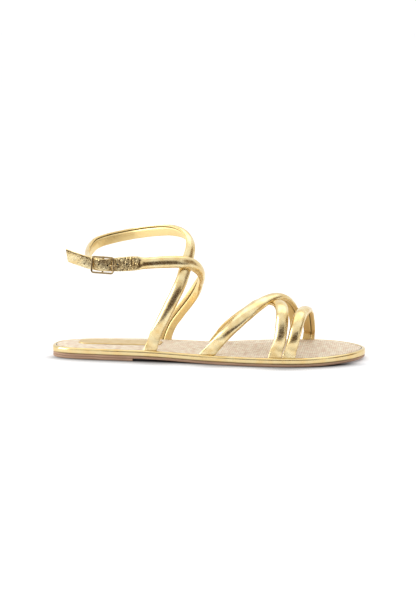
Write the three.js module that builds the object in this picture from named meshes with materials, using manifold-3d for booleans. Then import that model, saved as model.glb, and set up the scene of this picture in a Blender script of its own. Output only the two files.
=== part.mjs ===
// A flat strappy sandal for the right foot: padded metallic leather straps on a thin leather-wrapped sole.
// Millimetres, +X to the toe, +Y to the inner (medial) side of the foot, +Z up, the floor at z = 0.
// Stations (x in the tables) count from the back edge of the heel. At the end the whole sandal is moved back
// by HEEL_CENTRE, so that its origin is near the middle of the face that the heel stands on.

import * as THREE from 'three';
import { mergeVertices } from 'three/addons/utils/BufferGeometryUtils.js';
import Module from 'manifold-3d';

const { Vector3, CatmullRomCurve3 } = THREE;
const { degToRad, lerp, mapLinear, smoothstep } = THREE.MathUtils;

// Sole
const SOLE_LENGTH = 250;
const HEEL_LIFT = { thick: 1.9, length: 68.4, inset: 0.5, edgeRound: 0.4 };
const HEEL_CENTRE = 32.5;
const OUTSOLE_THICK = 2.9;
const FOOTBED_THICK = 3.7;
const LAYER_GAP = 0.25;
const WAIST = { from: 72, to: 138 };
const TOE_SPRING = { from: 186, rise: 2.1, power: 1.8 };
const SOCK = { inset: 3.4, thick: 1.0, recess: 1.1, proud: 0.1, edgeRound: 0.3 };
const OUTLINE_STEPS_PER_SIDE = 40;

// Edges of the outsole and of the wrapped footbed, from the bottom up: how far each row of points is in
// from the sole's outline, and how far it is above the layer's underside. The footbed's last two rows are
// the side of the recess that the sock lies in.
const OUTSOLE_EDGE = [
  { inset: 0.9, up: 0 },
  { inset: 0.5, up: 0.35 },
  { inset: 0.4, up: OUTSOLE_THICK - 0.4 },
  { inset: 0.8, up: OUTSOLE_THICK },
];
const FOOTBED_EDGE = [
  { inset: 1.0, up: 0 },
  { inset: 0.25, up: 0.7 },
  { inset: 0, up: 1.7 },
  { inset: 0.15, up: 2.7 },
  { inset: 0.85, up: 3.4 },
  { inset: 1.8, up: FOOTBED_THICK },
  { inset: 3.0, up: FOOTBED_THICK - 0.2 },
  { inset: 3.05, up: FOOTBED_THICK - SOCK.recess },
];

// Outline of the wrapped footbed seen from above, a row per station.
const HEEL_TIP_Y = -3.5;
const TOE_TIP_Y = 5;
const OUTLINE = [
  { x: 2, lateral: -13.5, medial: 5.5 },
  { x: 5, lateral: -17.5, medial: 10 },
  { x: 10, lateral: -20.8, medial: 14.2 },
  { x: 20, lateral: -23.8, medial: 19.6 },
  { x: 36, lateral: -25.8, medial: 23.6 },
  { x: 57, lateral: -27.6, medial: 25.2 },
  { x: 80, lateral: -29.2, medial: 26.4 },
  { x: 100, lateral: -30.6, medial: 27.6 },
  { x: 122, lateral: -33, medial: 30 },
  { x: 142, lateral: -36, medial: 35.4 },
  { x: 160, lateral: -38.4, medial: 41.4 },
  { x: 178, lateral: -39.4, medial: 46.4 },
  { x: 196, lateral: -38.6, medial: 48.8 },
  { x: 210, lateral: -36, medial: 48 },
  { x: 222, lateral: -31.4, medial: 43.6 },
  { x: 232, lateral: -25.2, medial: 36.4 },
  { x: 240, lateral: -18, medial: 28 },
  { x: 246.5, lateral: -8, medial: 17.8 },
  { x: 249.3, lateral: -1, medial: 11 },
];

// Heel label, a bare leather patch on the sock
const LABEL = { from: 20, to: 87, centreY: 4, wide: 21, thick: 0.5, gap: 0.15, steps: 24, squareness: 0.45 };

// Flat end of each strap, set in a slot in the footbed, where it is wider by its flare
const TAB = { wide: 9.2, flare: 1.0, thick: 1.6, inset: 3.6, depth: 2.5, rise: 5.5, belowCut: 4 };
const SLOT_CLEARANCE = 0.3;

// Section of a strap. From its flat to its fully padded thickness, the dome grows rounder and the side
// walls under it grow lower, as shares of the thickness. The lining is a little narrower than the strap.
const SECTION = {
  flat: { thick: 1.6, roundness: 0.3, wall: 0.3 },
  padded: { thick: 4.4, roundness: 0.85, wall: 0.22 },
  liningShare: 0.84,
  domeSteps: 8,
};
const STRAP_STEP = 4.6;
const WIRE_SIDES = 8;
const STRAP_HOLE = { radius: 0.9, depth: 3.4, sides: 10 };

// Buckle, in its own axes: u along the strap towards the toe, v up, n away from the ankle
const BUCKLE = {
  centre: new Vector3(47.2, -36.5, 77.5),
  along: new Vector3(1, 0.06, -0.065).normalize(),
  long: 18.4,
  tall: 14,
  wire: 0.8,
  corner: 1.8,
  standOff: 2.85,
  barWire: 0.75,
};

// Upper half of the bar across the middle, cranked down at its end so that the strap passes over it
const RAIL_V = BUCKLE.tall / 2 - BUCKLE.wire;
const BAR_HALF = [
  { v: RAIL_V, n: BUCKLE.standOff },
  { v: RAIL_V, n: 0.9 },
  { v: RAIL_V - 0.3, n: 0.25 },
  { v: RAIL_V - 1.1, n: 0 },
];

// Prong: an eye round the bar, then up through the strap's hole and over the frame's front bar
const PRONG = { wire: 0.5, eye: 1.35, eyeFromDeg: 130, eyeToDeg: 310, eyeStepDeg: 30, clearance: 0.35 };
const PRONG_TONGUE = [
  { u: 3.2, n: 0.6 },
  { u: 5.4, n: 2.5 },
  { u: 7.1, n: 3.9 },
  { u: 8.7, n: 4.3 },
  { u: 10.1, n: 4.15 },
];

// Straps. Each starts and may end in a flat end on one side of the footbed, which leans that many
// millimetres towards the toe for each one up. Between them a row gives a point in the middle of the
// strap's thickness, the core that the strap faces away from there, and the strap's width and thickness.
const LATERAL = -1;
const MEDIAL = 1;

// Strap from the lateral side, up and under the other ankle strap, round the inner side and the back of
// the ankle, to the buckle's bar.
const WRAP_STRAP = {
  start: { side: LATERAL, station: 82.4, lean: 0.34 },
  overFoot: [
    { x: 87.3, y: -27.8, z: 22.5, coreX: 87, coreZ: 22, wide: 9.4, thick: 3.2 },
    { x: 92.2, y: -29, z: 32, coreX: 91, coreZ: 29, wide: 9.6, thick: 4.6 },
    { x: 98, y: -29, z: 44, coreX: 96, coreZ: 38, wide: 9.6, thick: 4.8 },
    { x: 104.3, y: -27, z: 57, coreX: 98, coreZ: 47, wide: 9.6, thick: 4.8 },
    { x: 108, y: -23.8, z: 66, coreX: 98, coreZ: 57, wide: 9.6, thick: 4.4 },
    { x: 110.2, y: -18.6, z: 75, coreX: 97, coreZ: 67, wide: 9.6, thick: 3.8 },
    { x: 112.2, y: -13.6, z: 82.5, coreX: 94, coreZ: 75, wide: 9.6, thick: 4.4 },
    { x: 112.9, y: -8.6, z: 88.6, coreX: 88, coreZ: 79, wide: 9.4, thick: 4.8 },
    { x: 111.2, y: -3, z: 94, coreX: 83, coreZ: 83, wide: 9.3, thick: 4.8 },
    { x: 105.6, y: 4, z: 98.2, coreX: 78, coreZ: 86.5, wide: 9.2, thick: 4.8 },
    { x: 96.4, y: 11.6, z: 99.8, coreX: 74, coreZ: 90, wide: 9.2, thick: 4.7 },
    { x: 82, y: 20.6, z: 98.4, coreX: 70, coreZ: 93.5, wide: 9.2, thick: 4.6 },
    { x: 61, y: 28.4, z: 94.6, coreX: 66, coreZ: 93, wide: 9, thick: 4.6 },
    { x: 41.4, y: 27.4, z: 90.4, coreX: 62, coreZ: 90.4, wide: 9.2, thick: 4.6 },
    { x: 31.8, y: 20.4, z: 87.6, coreX: 62, coreZ: 87.6, wide: 9.3, thick: 4.6 },
    { x: 28.8, y: 8, z: 84.6, coreX: 62, coreZ: 84.6, wide: 9.4, thick: 4.6 },
    { x: 29.2, y: -6, z: 81.8, coreX: 62, coreZ: 81.8, wide: 9.4, thick: 4.4 },
    { x: 32, y: -18, z: 79.8, coreX: 62, coreZ: 79.8, wide: 9.3, thick: 3.4 },
    { x: 35.6, y: -27.6, z: 78.6, coreX: 62, coreZ: 78.6, wide: 9.2, thick: 2.0 },
  ],
  throughBuckle: [
    { u: -4.4, v: 0.2, n: -2.2, wide: 9.0, thick: 1.1 },
    { u: 0, v: 0, n: -1.55, wide: 9.0, thick: 1.0 },
  ],
};

// The same strap's end, folded round the buckle's bar and laid back on itself
const WRAP_FOLD = {
  radius: 1.55,
  wide: 9.0,
  thick: 1.0,
  lead: { u: -3.4, n: -1.9 },
  tail: [
    { u: -2.4, n: 1.25 },
    { u: -4.6, n: 0.1 },
    { u: -7, n: -1.4 },
  ],
};

// Strap from the medial side, over the instep and the other strap, along the lateral side and through
// the buckle. It is padded up to the start of its flat end.
const BUCKLED_STRAP = {
  start: { side: MEDIAL, station: 87.2, lean: 0.3 },
  overFoot: [
    { x: 92, y: 24.8, z: 21.5, coreX: 92, coreZ: 21, wide: 9.4, thick: 3.4 },
    { x: 98, y: 24.4, z: 30, coreX: 95, coreZ: 26, wide: 9.6, thick: 4.6 },
    { x: 107.4, y: 20, z: 41.9, coreX: 99, coreZ: 34, wide: 9.6, thick: 4.8 },
    { x: 113.9, y: 14, z: 50.7, coreX: 98, coreZ: 44, wide: 9.6, thick: 4.8 },
    { x: 118.4, y: 6, z: 58.9, coreX: 94, coreZ: 60, wide: 9.6, thick: 4.8 },
    { x: 120.8, y: -3.4, z: 66, coreX: 97, coreZ: 61, wide: 9.6, thick: 4.8 },
    { x: 119.5, y: -12, z: 72.2, coreX: 97, coreZ: 65, wide: 9.6, thick: 4.8 },
    { x: 115, y: -19.4, z: 76.8, coreX: 94, coreZ: 71, wide: 9.6, thick: 4.8 },
    { x: 108.6, y: -25, z: 78.9, coreX: 89, coreZ: 76, wide: 9.6, thick: 4.8 },
    { x: 99.6, y: -28.8, z: 79.3, coreX: 80, coreZ: 79, wide: 9.6, thick: 4.8 },
    { x: 88, y: -31.8, z: 78.9, coreX: 72, coreZ: 78.9, wide: 9.2, thick: 4.8 },
    { x: 79, y: -33.4, z: 78.4, coreX: 68, coreZ: 78.4, wide: 8.6, thick: 4.8 },
    { x: 75, y: -33.9, z: 78.6, coreX: 66, coreZ: 78.6, wide: 11, thick: 1.9 },
  ],
  throughBuckle: [
    { u: 19.5, v: 1.9, n: -0.6, wide: 11.5, thick: 1.5 },
    { u: 13.4, v: 1.2, n: 0.2, wide: 11.3, thick: 1.5 },
    { u: 8.7, v: 0.6, n: 0.95, wide: 10.4, thick: 1.5 },
    { u: 4.3, v: 0.1, n: 2.3, wide: 9.9, thick: 1.5 },
    { u: 0, v: 0, n: 3.15, wide: 9.9, thick: 1.5 },
    { u: -4.3, v: 0.1, n: 2.3, wide: 9.9, thick: 1.5 },
    { u: -8.7, v: 0.4, n: 0.95, wide: 9.9, thick: 1.5 },
    { u: -13, v: 1.1, n: 0.7, wide: 9.9, thick: 1.5 },
    { u: -19, v: 2.6, n: 0.9, wide: 10, thick: 1.5 },
    { u: -24.5, v: 4.2, n: 1.5, wide: 10.2, thick: 1.5 },
    { u: -32, v: 6.6, n: 2.7, wide: 10.2, thick: 1.5 },
  ],
};

// Centres of the buckled strap's unused holes
const SPARE_HOLES = [
  { u: -3.1, v: 0.1, n: 3.4 },
  { u: 11.4, v: 0.7, n: 1.25 },
  { u: 18.6, v: 1.4, n: 0.25 },
];
// Slanting cut at the buckled strap's free end
const TIP_CUT = { u: -28.2, v: 5.4, slopeDeg: 8, size: 20 };

// Strap from the lateral side of the waist, over the other one, to the medial side behind the toes.
const UPPER_CROSS_STRAP = {
  start: { side: LATERAL, station: 128.1, lean: 0.88 },
  overFoot: [
    { x: 138.6, y: -32.4, z: 19.5, coreX: 141, coreZ: 15, wide: 9.4, thick: 3.4 },
    { x: 146.3, y: -31.4, z: 27.9, coreX: 149, coreZ: 18, wide: 9.7, thick: 4.7 },
    { x: 155.1, y: -27.4, z: 36.2, coreX: 158, coreZ: 18, wide: 10, thick: 4.9 },
    { x: 163.9, y: -21, z: 43.5, coreX: 166, coreZ: 15, wide: 10.2, thick: 4.9 },
    { x: 172.2, y: -12, z: 48.7, coreX: 173, coreZ: 12, wide: 10.2, thick: 4.9 },
    { x: 180.2, y: -2, z: 50.2, coreX: 180, coreZ: 10, wide: 10, thick: 4.9 },
    { x: 185.4, y: 8, z: 46.9, coreX: 185, coreZ: 12, wide: 9.8, thick: 4.9 },
    { x: 188.8, y: 16.6, z: 41.5, coreX: 187, coreZ: 14, wide: 9.8, thick: 4.8 },
    { x: 191.2, y: 26, z: 34.2, coreX: 189, coreZ: 15, wide: 9.6, thick: 4.6 },
    { x: 192.2, y: 34.6, z: 26, coreX: 190, coreZ: 17, wide: 9.4, thick: 4.2 },
    { x: 192, y: 41, z: 18, coreX: 191, coreZ: 15, wide: 9.2, thick: 2.8 },
  ],
  end: { side: MEDIAL, station: 190.4, lean: 0.1 },
};

// Strap from the lateral side behind the toes, under the other one, to the medial side of the waist.
const LOWER_CROSS_STRAP = {
  start: { side: LATERAL, station: 181.5, lean: 0.22 },
  overFoot: [
    { x: 184.9, y: -36.5, z: 19, coreX: 185, coreZ: 16, wide: 9.5, thick: 4 },
    { x: 186.4, y: -35.1, z: 30.5, coreX: 186, coreZ: 20, wide: 9.8, thick: 4.8 },
    { x: 186.7, y: -31.4, z: 39.8, coreX: 186, coreZ: 20, wide: 9.8, thick: 4.9 },
    { x: 185.4, y: -23.6, z: 44.9, coreX: 184, coreZ: 14, wide: 9.7, thick: 4.5 },
    { x: 182.2, y: -14.5, z: 46.8, coreX: 181, coreZ: 10, wide: 9.6, thick: 4.1 },
    { x: 177.4, y: -5.5, z: 46, coreX: 177, coreZ: 8, wide: 9.6, thick: 3.8 },
    { x: 171.2, y: 2.4, z: 45.4, coreX: 171, coreZ: 10, wide: 9.6, thick: 4.3 },
    { x: 164.1, y: 9.4, z: 42.8, coreX: 164, coreZ: 12, wide: 9.8, thick: 4.8 },
    { x: 155.6, y: 15.4, z: 35.7, coreX: 156, coreZ: 14, wide: 9.8, thick: 4.9 },
    { x: 145.2, y: 21.2, z: 27, coreX: 148, coreZ: 16, wide: 9.7, thick: 4.7 },
    { x: 136, y: 25.8, z: 17.8, coreX: 139, coreZ: 14, wide: 9.4, thick: 3.2 },
  ],
  end: { side: MEDIAL, station: 128.4, lean: 0.68 },
};

// Strap over the roots of the toes.
const TOE_STRAP = {
  start: { side: LATERAL, station: 192.3, lean: 0.24 },
  overFoot: [
    { x: 195.4, y: -35.6, z: 19, coreX: 195, coreZ: 14, wide: 9.4, thick: 4 },
    { x: 197.9, y: -32.2, z: 31, coreX: 198, coreZ: 16, wide: 9.8, thick: 4.8 },
    { x: 200, y: -23, z: 38.8, coreX: 200, coreZ: 10, wide: 9.8, thick: 4.9 },
    { x: 202, y: -10, z: 40.8, coreX: 202, coreZ: 5, wide: 9.8, thick: 4.9 },
    { x: 203, y: 4, z: 38.9, coreX: 202.6, coreZ: 5, wide: 9.8, thick: 4.9 },
    { x: 203.4, y: 17, z: 34, coreX: 203, coreZ: 8, wide: 9.8, thick: 4.9 },
    { x: 203.4, y: 30, z: 25.6, coreX: 203, coreZ: 12, wide: 9.7, thick: 4.8 },
    { x: 203.4, y: 39.6, z: 16.6, coreX: 203, coreZ: 13, wide: 9.4, thick: 3.2 },
  ],
  end: { side: MEDIAL, station: 202.2, lean: 0.12 },
};

const MATERIALS = {
  goldLeather: { color: 0xe2c97f, roughness: 0.3, metalness: 0.9 },
  labelLeather: { color: 0xc9a04f, roughness: 0.4, metalness: 0.8 },
  goldMetal: { color: 0xc9ac6a, roughness: 0.2, metalness: 1 },
  wovenJute: { color: 0xe5d5bb, roughness: 0.95, metalness: 0 },
  soleLeather: { color: 0xa9866a, roughness: 0.65, metalness: 0 },
};

// Farther out than any point of the sandal
const BEYOND = 400;
const END_CUT_REACH = 20;
const WELD = 1e-4;

const wasm = await Module();
wasm.setup();

// Height of the outsole's underside above the floor: level on the heel lift, down through the waist,
// level under the ball of the foot, and up again under the toes.
function liftAt(x) {
  const waist = smoothstep(x, WAIST.from, WAIST.to);
  const toe = Math.max(0, (x - TOE_SPRING.from) / (SOLE_LENGTH - TOE_SPRING.from));
  return HEEL_LIFT.thick * (1 - waist) + TOE_SPRING.rise * toe ** TOE_SPRING.power;
}

function footbedBaseAt(x) {
  return liftAt(x) + OUTSOLE_THICK + LAYER_GAP;
}

function footbedTopAt(x) {
  return footbedBaseAt(x) + FOOTBED_THICK;
}

// Points round the sole, from the heel tip along the lateral side to the toe tip and back along the
// medial side. Points i and count - i face each other across the sole.
function soleOutline() {
  const lateral = OUTLINE.map((row) => new Vector3(row.x, row.lateral, 0));
  const medial = OUTLINE.map((row) => new Vector3(row.x, row.medial, 0)).reverse();
  const heelTip = new Vector3(0, HEEL_TIP_Y, 0);
  const toeTip = new Vector3(SOLE_LENGTH, TOE_TIP_Y, 0);
  const curve = new CatmullRomCurve3([heelTip, ...lateral, toeTip, ...medial], true, 'centripetal');
  const count = 2 * OUTLINE_STEPS_PER_SIDE;
  return Array.from({ length: count }, (_, i) => {
    const point = curve.getPoint(i / count);
    const tangent = curve.getTangent(i / count);
    return { x: point.x, y: point.y, outX: tangent.y, outY: -tangent.x };
  });
}

const SOLE_OUTLINE = soleOutline();

// Edge of the footbed at a station, on the lateral or the medial side.
function edgeAt(x, side) {
  const half = SOLE_OUTLINE.length / 2;
  const points = SOLE_OUTLINE.filter((_, i) => (side === LATERAL ? i <= half : i >= half || i === 0));
  points.sort((a, b) => a.x - b.x);
  const next = points.findIndex((point) => point.x >= x);
  const before = points[next - 1];
  const after = points[next];
  return mapLinear(x, before.x, after.x, before.y, after.y);
}

function geometryOf(positions, faces) {
  const geometry = new THREE.BufferGeometry();
  geometry.setAttribute('position', new THREE.Float32BufferAttribute(positions, 3));
  geometry.setIndex(faces);
  geometry.computeVertexNormals();
  return geometry;
}

// A closed layer over an outline: one ring of points for each profile row, moved in by `inset` and
// standing `up` above the base height at its station, with rungs across the first and the last ring.
function layer(outline, profile, baseAt) {
  const count = outline.length;
  const positions = profile.flatMap(({ inset, up }) =>
    outline.flatMap((point) => {
      const x = point.x - inset * point.outX;
      return [x, point.y - inset * point.outY, baseAt(x) + up];
    }),
  );
  const faces = [];
  for (let ring = 0; ring < profile.length - 1; ring += 1) {
    for (let i = 0; i < count; i += 1) {
      const j = (i + 1) % count;
      const low = ring * count;
      const high = low + count;
      faces.push(low + i, low + j, high + j, low + i, high + j, high + i);
    }
  }
  const top = (profile.length - 1) * count;
  const rung = (a, b, c) => {
    faces.push(top + a, top + b, top + c, a, c, b);
  };
  rung(0, 1, count - 1);
  for (let i = 1; i < count / 2 - 1; i += 1) {
    rung(i, i + 1, count - i - 1);
    rung(i, count - i - 1, count - i);
  }
  rung(count / 2 - 1, count / 2, count / 2 + 1);
  return geometryOf(positions, faces);
}

// Joins rings of equal length into a closed body, either end to end or with a flat cap on each end.
function skin(rings, closed) {
  const count = rings[0].length;
  const positions = rings.flat().flatMap((point) => point.toArray());
  const faces = [];
  const last = closed ? rings.length : rings.length - 1;
  for (let ring = 0; ring < last; ring += 1) {
    const low = ring * count;
    const high = ((ring + 1) % rings.length) * count;
    for (let i = 0; i < count; i += 1) {
      const j = (i + 1) % count;
      faces.push(low + i, low + j, high + j, low + i, high + j, high + i);
    }
  }
  const end = (rings.length - 1) * count;
  for (let i = 1; !closed && i < count - 1; i += 1) {
    faces.push(0, i + 1, i, end, end + i, end + i + 1);
  }
  return geometryOf(positions, faces);
}

// Cross-section of a strap: a flat lining, low side walls and a padded dome. A thin strap is nearly flat.
function strapSection(wide, thick) {
  const { flat, padded, liningShare, domeSteps } = SECTION;
  const fullness = smoothstep(thick, flat.thick, padded.thick);
  const roundness = lerp(flat.roundness, padded.roundness, fullness);
  const wall = lerp(flat.wall, padded.wall, fullness) * thick;
  const dome = Array.from({ length: domeSteps + 1 }, (_, i) => {
    const angle = (Math.PI * i) / domeSteps;
    const rise = Math.abs(Math.sin(angle)) ** roundness;
    return { across: (wide / 2) * Math.cos(angle), out: wall + (thick - wall) * rise - thick / 2 };
  });
  const lining = [-1, 1].map((side) => ({ across: (side * liningShare * wide) / 2, out: -thick / 2 }));
  return [...dome, ...lining];
}

// Sweeps the strap's section along a route. Each row has a point in the middle of the strap's thickness,
// the direction away from the foot, and the strap's width and thickness there.
function sweepStrap(route, extra = 0) {
  const curve = new CatmullRomCurve3(route.map((row) => row.point), false, 'centripetal');
  const spans = route.length - 1;
  const rings = [];
  const ringAt = (span, share) => {
    const here = route[span];
    const next = route[Math.min(span + 1, spans)];
    const at = Math.min((span + share) / spans, 1);
    const point = curve.getPoint(at);
    const tangent = curve.getTangent(at);
    const outward = here.outward.clone().lerp(next.outward, share);
    outward.addScaledVector(tangent, -outward.dot(tangent)).normalize();
    const across = outward.clone().cross(tangent);
    const wide = lerp(here.wide, next.wide, share) + extra;
    const thick = lerp(here.thick, next.thick, share) + extra;
    return strapSection(wide, thick).map((corner) =>
      point.clone().addScaledVector(across, corner.across).addScaledVector(outward, corner.out),
    );
  };
  for (let span = 0; span < spans; span += 1) {
    const reach = route[span].point.distanceTo(route[span + 1].point);
    const steps = Math.max(1, Math.round(reach / STRAP_STEP));
    for (let step = 0; step < steps; step += 1) rings.push(ringAt(span, step / steps));
  }
  rings.push(ringAt(spans, 0));
  return skin(rings, false);
}

// Round wire along a path that lies in one plane.
function wire(path, planeNormal, radius, closed) {
  const rings = path.map((point, i) => {
    const before = closed ? path[(i + path.length - 1) % path.length] : path[Math.max(i - 1, 0)];
    const after = closed ? path[(i + 1) % path.length] : path[Math.min(i + 1, path.length - 1)];
    const tangent = after.clone().sub(before).normalize();
    const across = planeNormal.clone().cross(tangent);
    return Array.from({ length: WIRE_SIDES }, (_, side) => {
      const angle = (2 * Math.PI * (side + 0.5)) / WIRE_SIDES;
      return point
        .clone()
        .addScaledVector(across, radius * Math.cos(angle))
        .addScaledVector(planeNormal, radius * Math.sin(angle));
    });
  });
  return skin(rings, closed);
}

function solidOf(geometry) {
  const bare = geometry.clone();
  bare.deleteAttribute('normal');
  bare.deleteAttribute('uv');
  const merged = mergeVertices(bare, WELD);
  const mesh = new wasm.Mesh({
    numProp: 3,
    vertProperties: new Float32Array(merged.getAttribute('position').array),
    triVerts: new Uint32Array(merged.getIndex().array),
  });
  return new wasm.Manifold(mesh);
}

function geometryOfSolid(solid) {
  const mesh = solid.getMesh();
  return geometryOf(Array.from(mesh.vertProperties), Array.from(mesh.triVerts));
}

function boxSolid(low, high) {
  const size = high.clone().sub(low);
  const middle = low.clone().add(high).multiplyScalar(0.5);
  const box = new THREE.BoxGeometry(size.x, size.y, size.z);
  return solidOf(box.translate(middle.x, middle.y, middle.z));
}

const BUCKLE_UP = new Vector3(0, 0, 1);
BUCKLE_UP.addScaledVector(BUCKLE.along, -BUCKLE_UP.dot(BUCKLE.along)).normalize();
const BUCKLE_OUT = BUCKLE.along.clone().cross(BUCKLE_UP);

function atBuckle(u, v, n) {
  return BUCKLE.centre
    .clone()
    .addScaledVector(BUCKLE.along, u)
    .addScaledVector(BUCKLE_UP, v)
    .addScaledVector(BUCKLE_OUT, n);
}

function overFootRow({ x, y, z, coreX, coreZ, wide, thick }) {
  const point = new Vector3(x, y, z);
  const outward = point.clone().sub(new Vector3(coreX, 0, coreZ)).normalize();
  return { point, outward, wide, thick };
}

function throughBuckleRow({ u, v, n, wide, thick }) {
  return { point: atBuckle(u, v, n), outward: BUCKLE_OUT.clone(), wide, thick };
}

// Rows of a flat end: below its cut end in the footbed, at the footbed's top, and `TAB.rise` above it.
function flatEndRows({ side, station, lean }) {
  const top = footbedTopAt(station);
  const rows = [
    { z: top - TAB.depth - TAB.belowCut, wide: TAB.wide + TAB.flare },
    { z: top, wide: TAB.wide + TAB.flare },
    { z: top + TAB.rise, wide: TAB.wide },
  ];
  return rows.map(({ z, wide }) => {
    const x = station + lean * (z - top);
    const y = edgeAt(x, side) - side * TAB.inset;
    const outward = new Vector3(0, side, 0);
    return { point: new Vector3(x, y, z), outward, wide, thick: TAB.thick };
  });
}

function routeOf({ start, overFoot, throughBuckle = [], end }) {
  return [
    ...flatEndRows(start),
    ...overFoot.map(overFootRow),
    ...throughBuckle.map(throughBuckleRow),
    ...(end ? flatEndRows(end).reverse() : []),
  ];
}

// Slot in the footbed for a flat end, cut by a slightly wider copy of the strap's first rows.
function slotFor(flatEnd, rowsAbove) {
  const rows = [...flatEndRows(flatEnd), ...rowsAbove.map(overFootRow)];
  const floor = footbedTopAt(flatEnd.station) - TAB.depth - SLOT_CLEARANCE;
  const below = boxSolid(new Vector3(-BEYOND, -BEYOND, -BEYOND), new Vector3(BEYOND, BEYOND, floor));
  return solidOf(sweepStrap(rows, 2 * SLOT_CLEARANCE)).subtract(below);
}

const STRAPS = [WRAP_STRAP, BUCKLED_STRAP, UPPER_CROSS_STRAP, LOWER_CROSS_STRAP, TOE_STRAP];
const SLOTS = STRAPS.flatMap(({ start, overFoot, end }) => [
  slotFor(start, overFoot.slice(0, 2)),
  ...(end ? [slotFor(end, overFoot.slice(-2).reverse())] : []),
]);

function cutSlots(solid) {
  return SLOTS.reduce((rest, slot) => rest.subtract(slot), solid);
}

// A strap with its flat ends cut level, inside the slots of the footbed.
function strapSolid(strap) {
  const flatEnds = strap.end ? [strap.start, strap.end] : [strap.start];
  return flatEnds.reduce((solid, flatEnd) => {
    const foot = flatEndRows(flatEnd)[1].point;
    const reach = new Vector3(END_CUT_REACH, END_CUT_REACH, 0);
    const low = foot.clone().sub(reach).setZ(-BEYOND);
    const high = foot.clone().add(reach).setZ(foot.z - TAB.depth);
    return solid.subtract(boxSolid(low, high));
  }, solidOf(sweepStrap(routeOf(strap))));
}

// Sole
function heelLift() {
  const { thick, length, inset, edgeRound } = HEEL_LIFT;
  const profile = [
    { inset: inset + edgeRound, up: 0 },
    { inset, up: edgeRound },
    { inset, up: thick },
  ];
  const whole = solidOf(layer(SOLE_OUTLINE, profile, () => 0));
  const front = boxSolid(new Vector3(length, -BEYOND, -BEYOND), new Vector3(BEYOND, BEYOND, BEYOND));
  return geometryOfSolid(whole.subtract(front));
}

function outsole() {
  return layer(SOLE_OUTLINE, OUTSOLE_EDGE, liftAt);
}

// Board wrapped in leather, with the recess that the sock lies in and the slots of the flat ends.
function footbed() {
  return geometryOfSolid(cutSlots(solidOf(layer(SOLE_OUTLINE, FOOTBED_EDGE, footbedBaseAt))));
}

function insoleSock() {
  const top = FOOTBED_THICK + SOCK.proud;
  const profile = [
    { inset: SOCK.inset, up: top - SOCK.thick },
    { inset: SOCK.inset, up: top - SOCK.edgeRound },
    { inset: SOCK.inset + SOCK.edgeRound, up: top },
  ];
  return geometryOfSolid(cutSlots(solidOf(layer(SOLE_OUTLINE, profile, footbedBaseAt))));
}

// Oblong with blunt ends, seen from above.
function heelLabel() {
  const middle = (LABEL.from + LABEL.to) / 2;
  const half = (LABEL.to - LABEL.from) / 2;
  const blunt = (value) => Math.sign(value) * Math.abs(value) ** LABEL.squareness;
  const outline = Array.from({ length: 2 * LABEL.steps }, (_, i) => {
    const angle = Math.PI + (Math.PI * i) / LABEL.steps;
    const x = middle + half * blunt(Math.cos(angle));
    return { x, y: LABEL.centreY + (LABEL.wide / 2) * blunt(Math.sin(angle)), outX: 0, outY: 0 };
  });
  const base = SOCK.proud + LABEL.gap;
  return layer(outline, [{ inset: 0, up: base }, { inset: 0, up: base + LABEL.thick }], footbedTopAt);
}

// End of the wrap strap, folded round the buckle's bar and laid back on itself.
function foldSolid() {
  const { radius, wide, thick, lead, tail } = WRAP_FOLD;
  const rowAt = (u, n, angle) => {
    const outward = new Vector3();
    outward.addScaledVector(BUCKLE.along, Math.cos(angle)).addScaledVector(BUCKLE_OUT, Math.sin(angle));
    return { point: atBuckle(u, 0, n), outward, wide, thick };
  };
  const turn = [-90, -45, 0, 45, 90].map((degrees) => {
    const angle = degToRad(degrees);
    return rowAt(radius * Math.cos(angle), radius * Math.sin(angle), angle);
  });
  const before = rowAt(lead.u, lead.n, -Math.PI / 2);
  const after = tail.map(({ u, n }) => rowAt(u, n, Math.PI / 2));
  return solidOf(sweepStrap([before, ...turn, ...after]));
}

// Both straps and the fold as one piece, with the free end cut off at a slant, the holes punched, and room
// for the prong and a little past the open end of its eye.
function ankleStraps() {
  const place = new THREE.Matrix4().makeBasis(BUCKLE.along, BUCKLE_UP, BUCKLE_OUT);
  const tip = new THREE.BoxGeometry(TIP_CUT.size, TIP_CUT.size, TIP_CUT.size);
  tip.translate(-TIP_CUT.size / 2, 0, 0).rotateZ(degToRad(TIP_CUT.slopeDeg));
  tip.applyMatrix4(place.setPosition(atBuckle(TIP_CUT.u, TIP_CUT.v, 0)));
  const holes = SPARE_HOLES.map(({ u, v, n }) => {
    const { radius, depth, sides } = STRAP_HOLE;
    const punch = new THREE.CylinderGeometry(radius, radius, depth, sides).rotateX(Math.PI / 2);
    return solidOf(punch.applyMatrix4(place.setPosition(atBuckle(u, v, n))));
  });
  const way = prongPath(PRONG.eyeFromDeg - PRONG.eyeStepDeg);
  const prongWay = solidOf(wire(way, BUCKLE_UP, PRONG.wire + PRONG.clearance, false));
  return [solidOf(tip), prongWay, ...holes].reduce(
    (rest, cutter) => rest.subtract(cutter),
    strapSolid(WRAP_STRAP).add(strapSolid(BUCKLED_STRAP)).add(foldSolid()),
  );
}

// Buckle
function roundedRectangle() {
  const u = BUCKLE.long / 2 - BUCKLE.wire - BUCKLE.corner;
  const v = BUCKLE.tall / 2 - BUCKLE.wire - BUCKLE.corner;
  const corners = [
    { u, v, fromDeg: 0 },
    { u: -u, v, fromDeg: 90 },
    { u: -u, v: -v, fromDeg: 180 },
    { u, v: -v, fromDeg: 270 },
  ];
  return corners.flatMap((corner) =>
    [0, 30, 60, 90].map((stepDeg) => {
      const angle = degToRad(corner.fromDeg + stepDeg);
      const along = corner.u + BUCKLE.corner * Math.cos(angle);
      return atBuckle(along, corner.v + BUCKLE.corner * Math.sin(angle), BUCKLE.standOff);
    }),
  );
}

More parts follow.
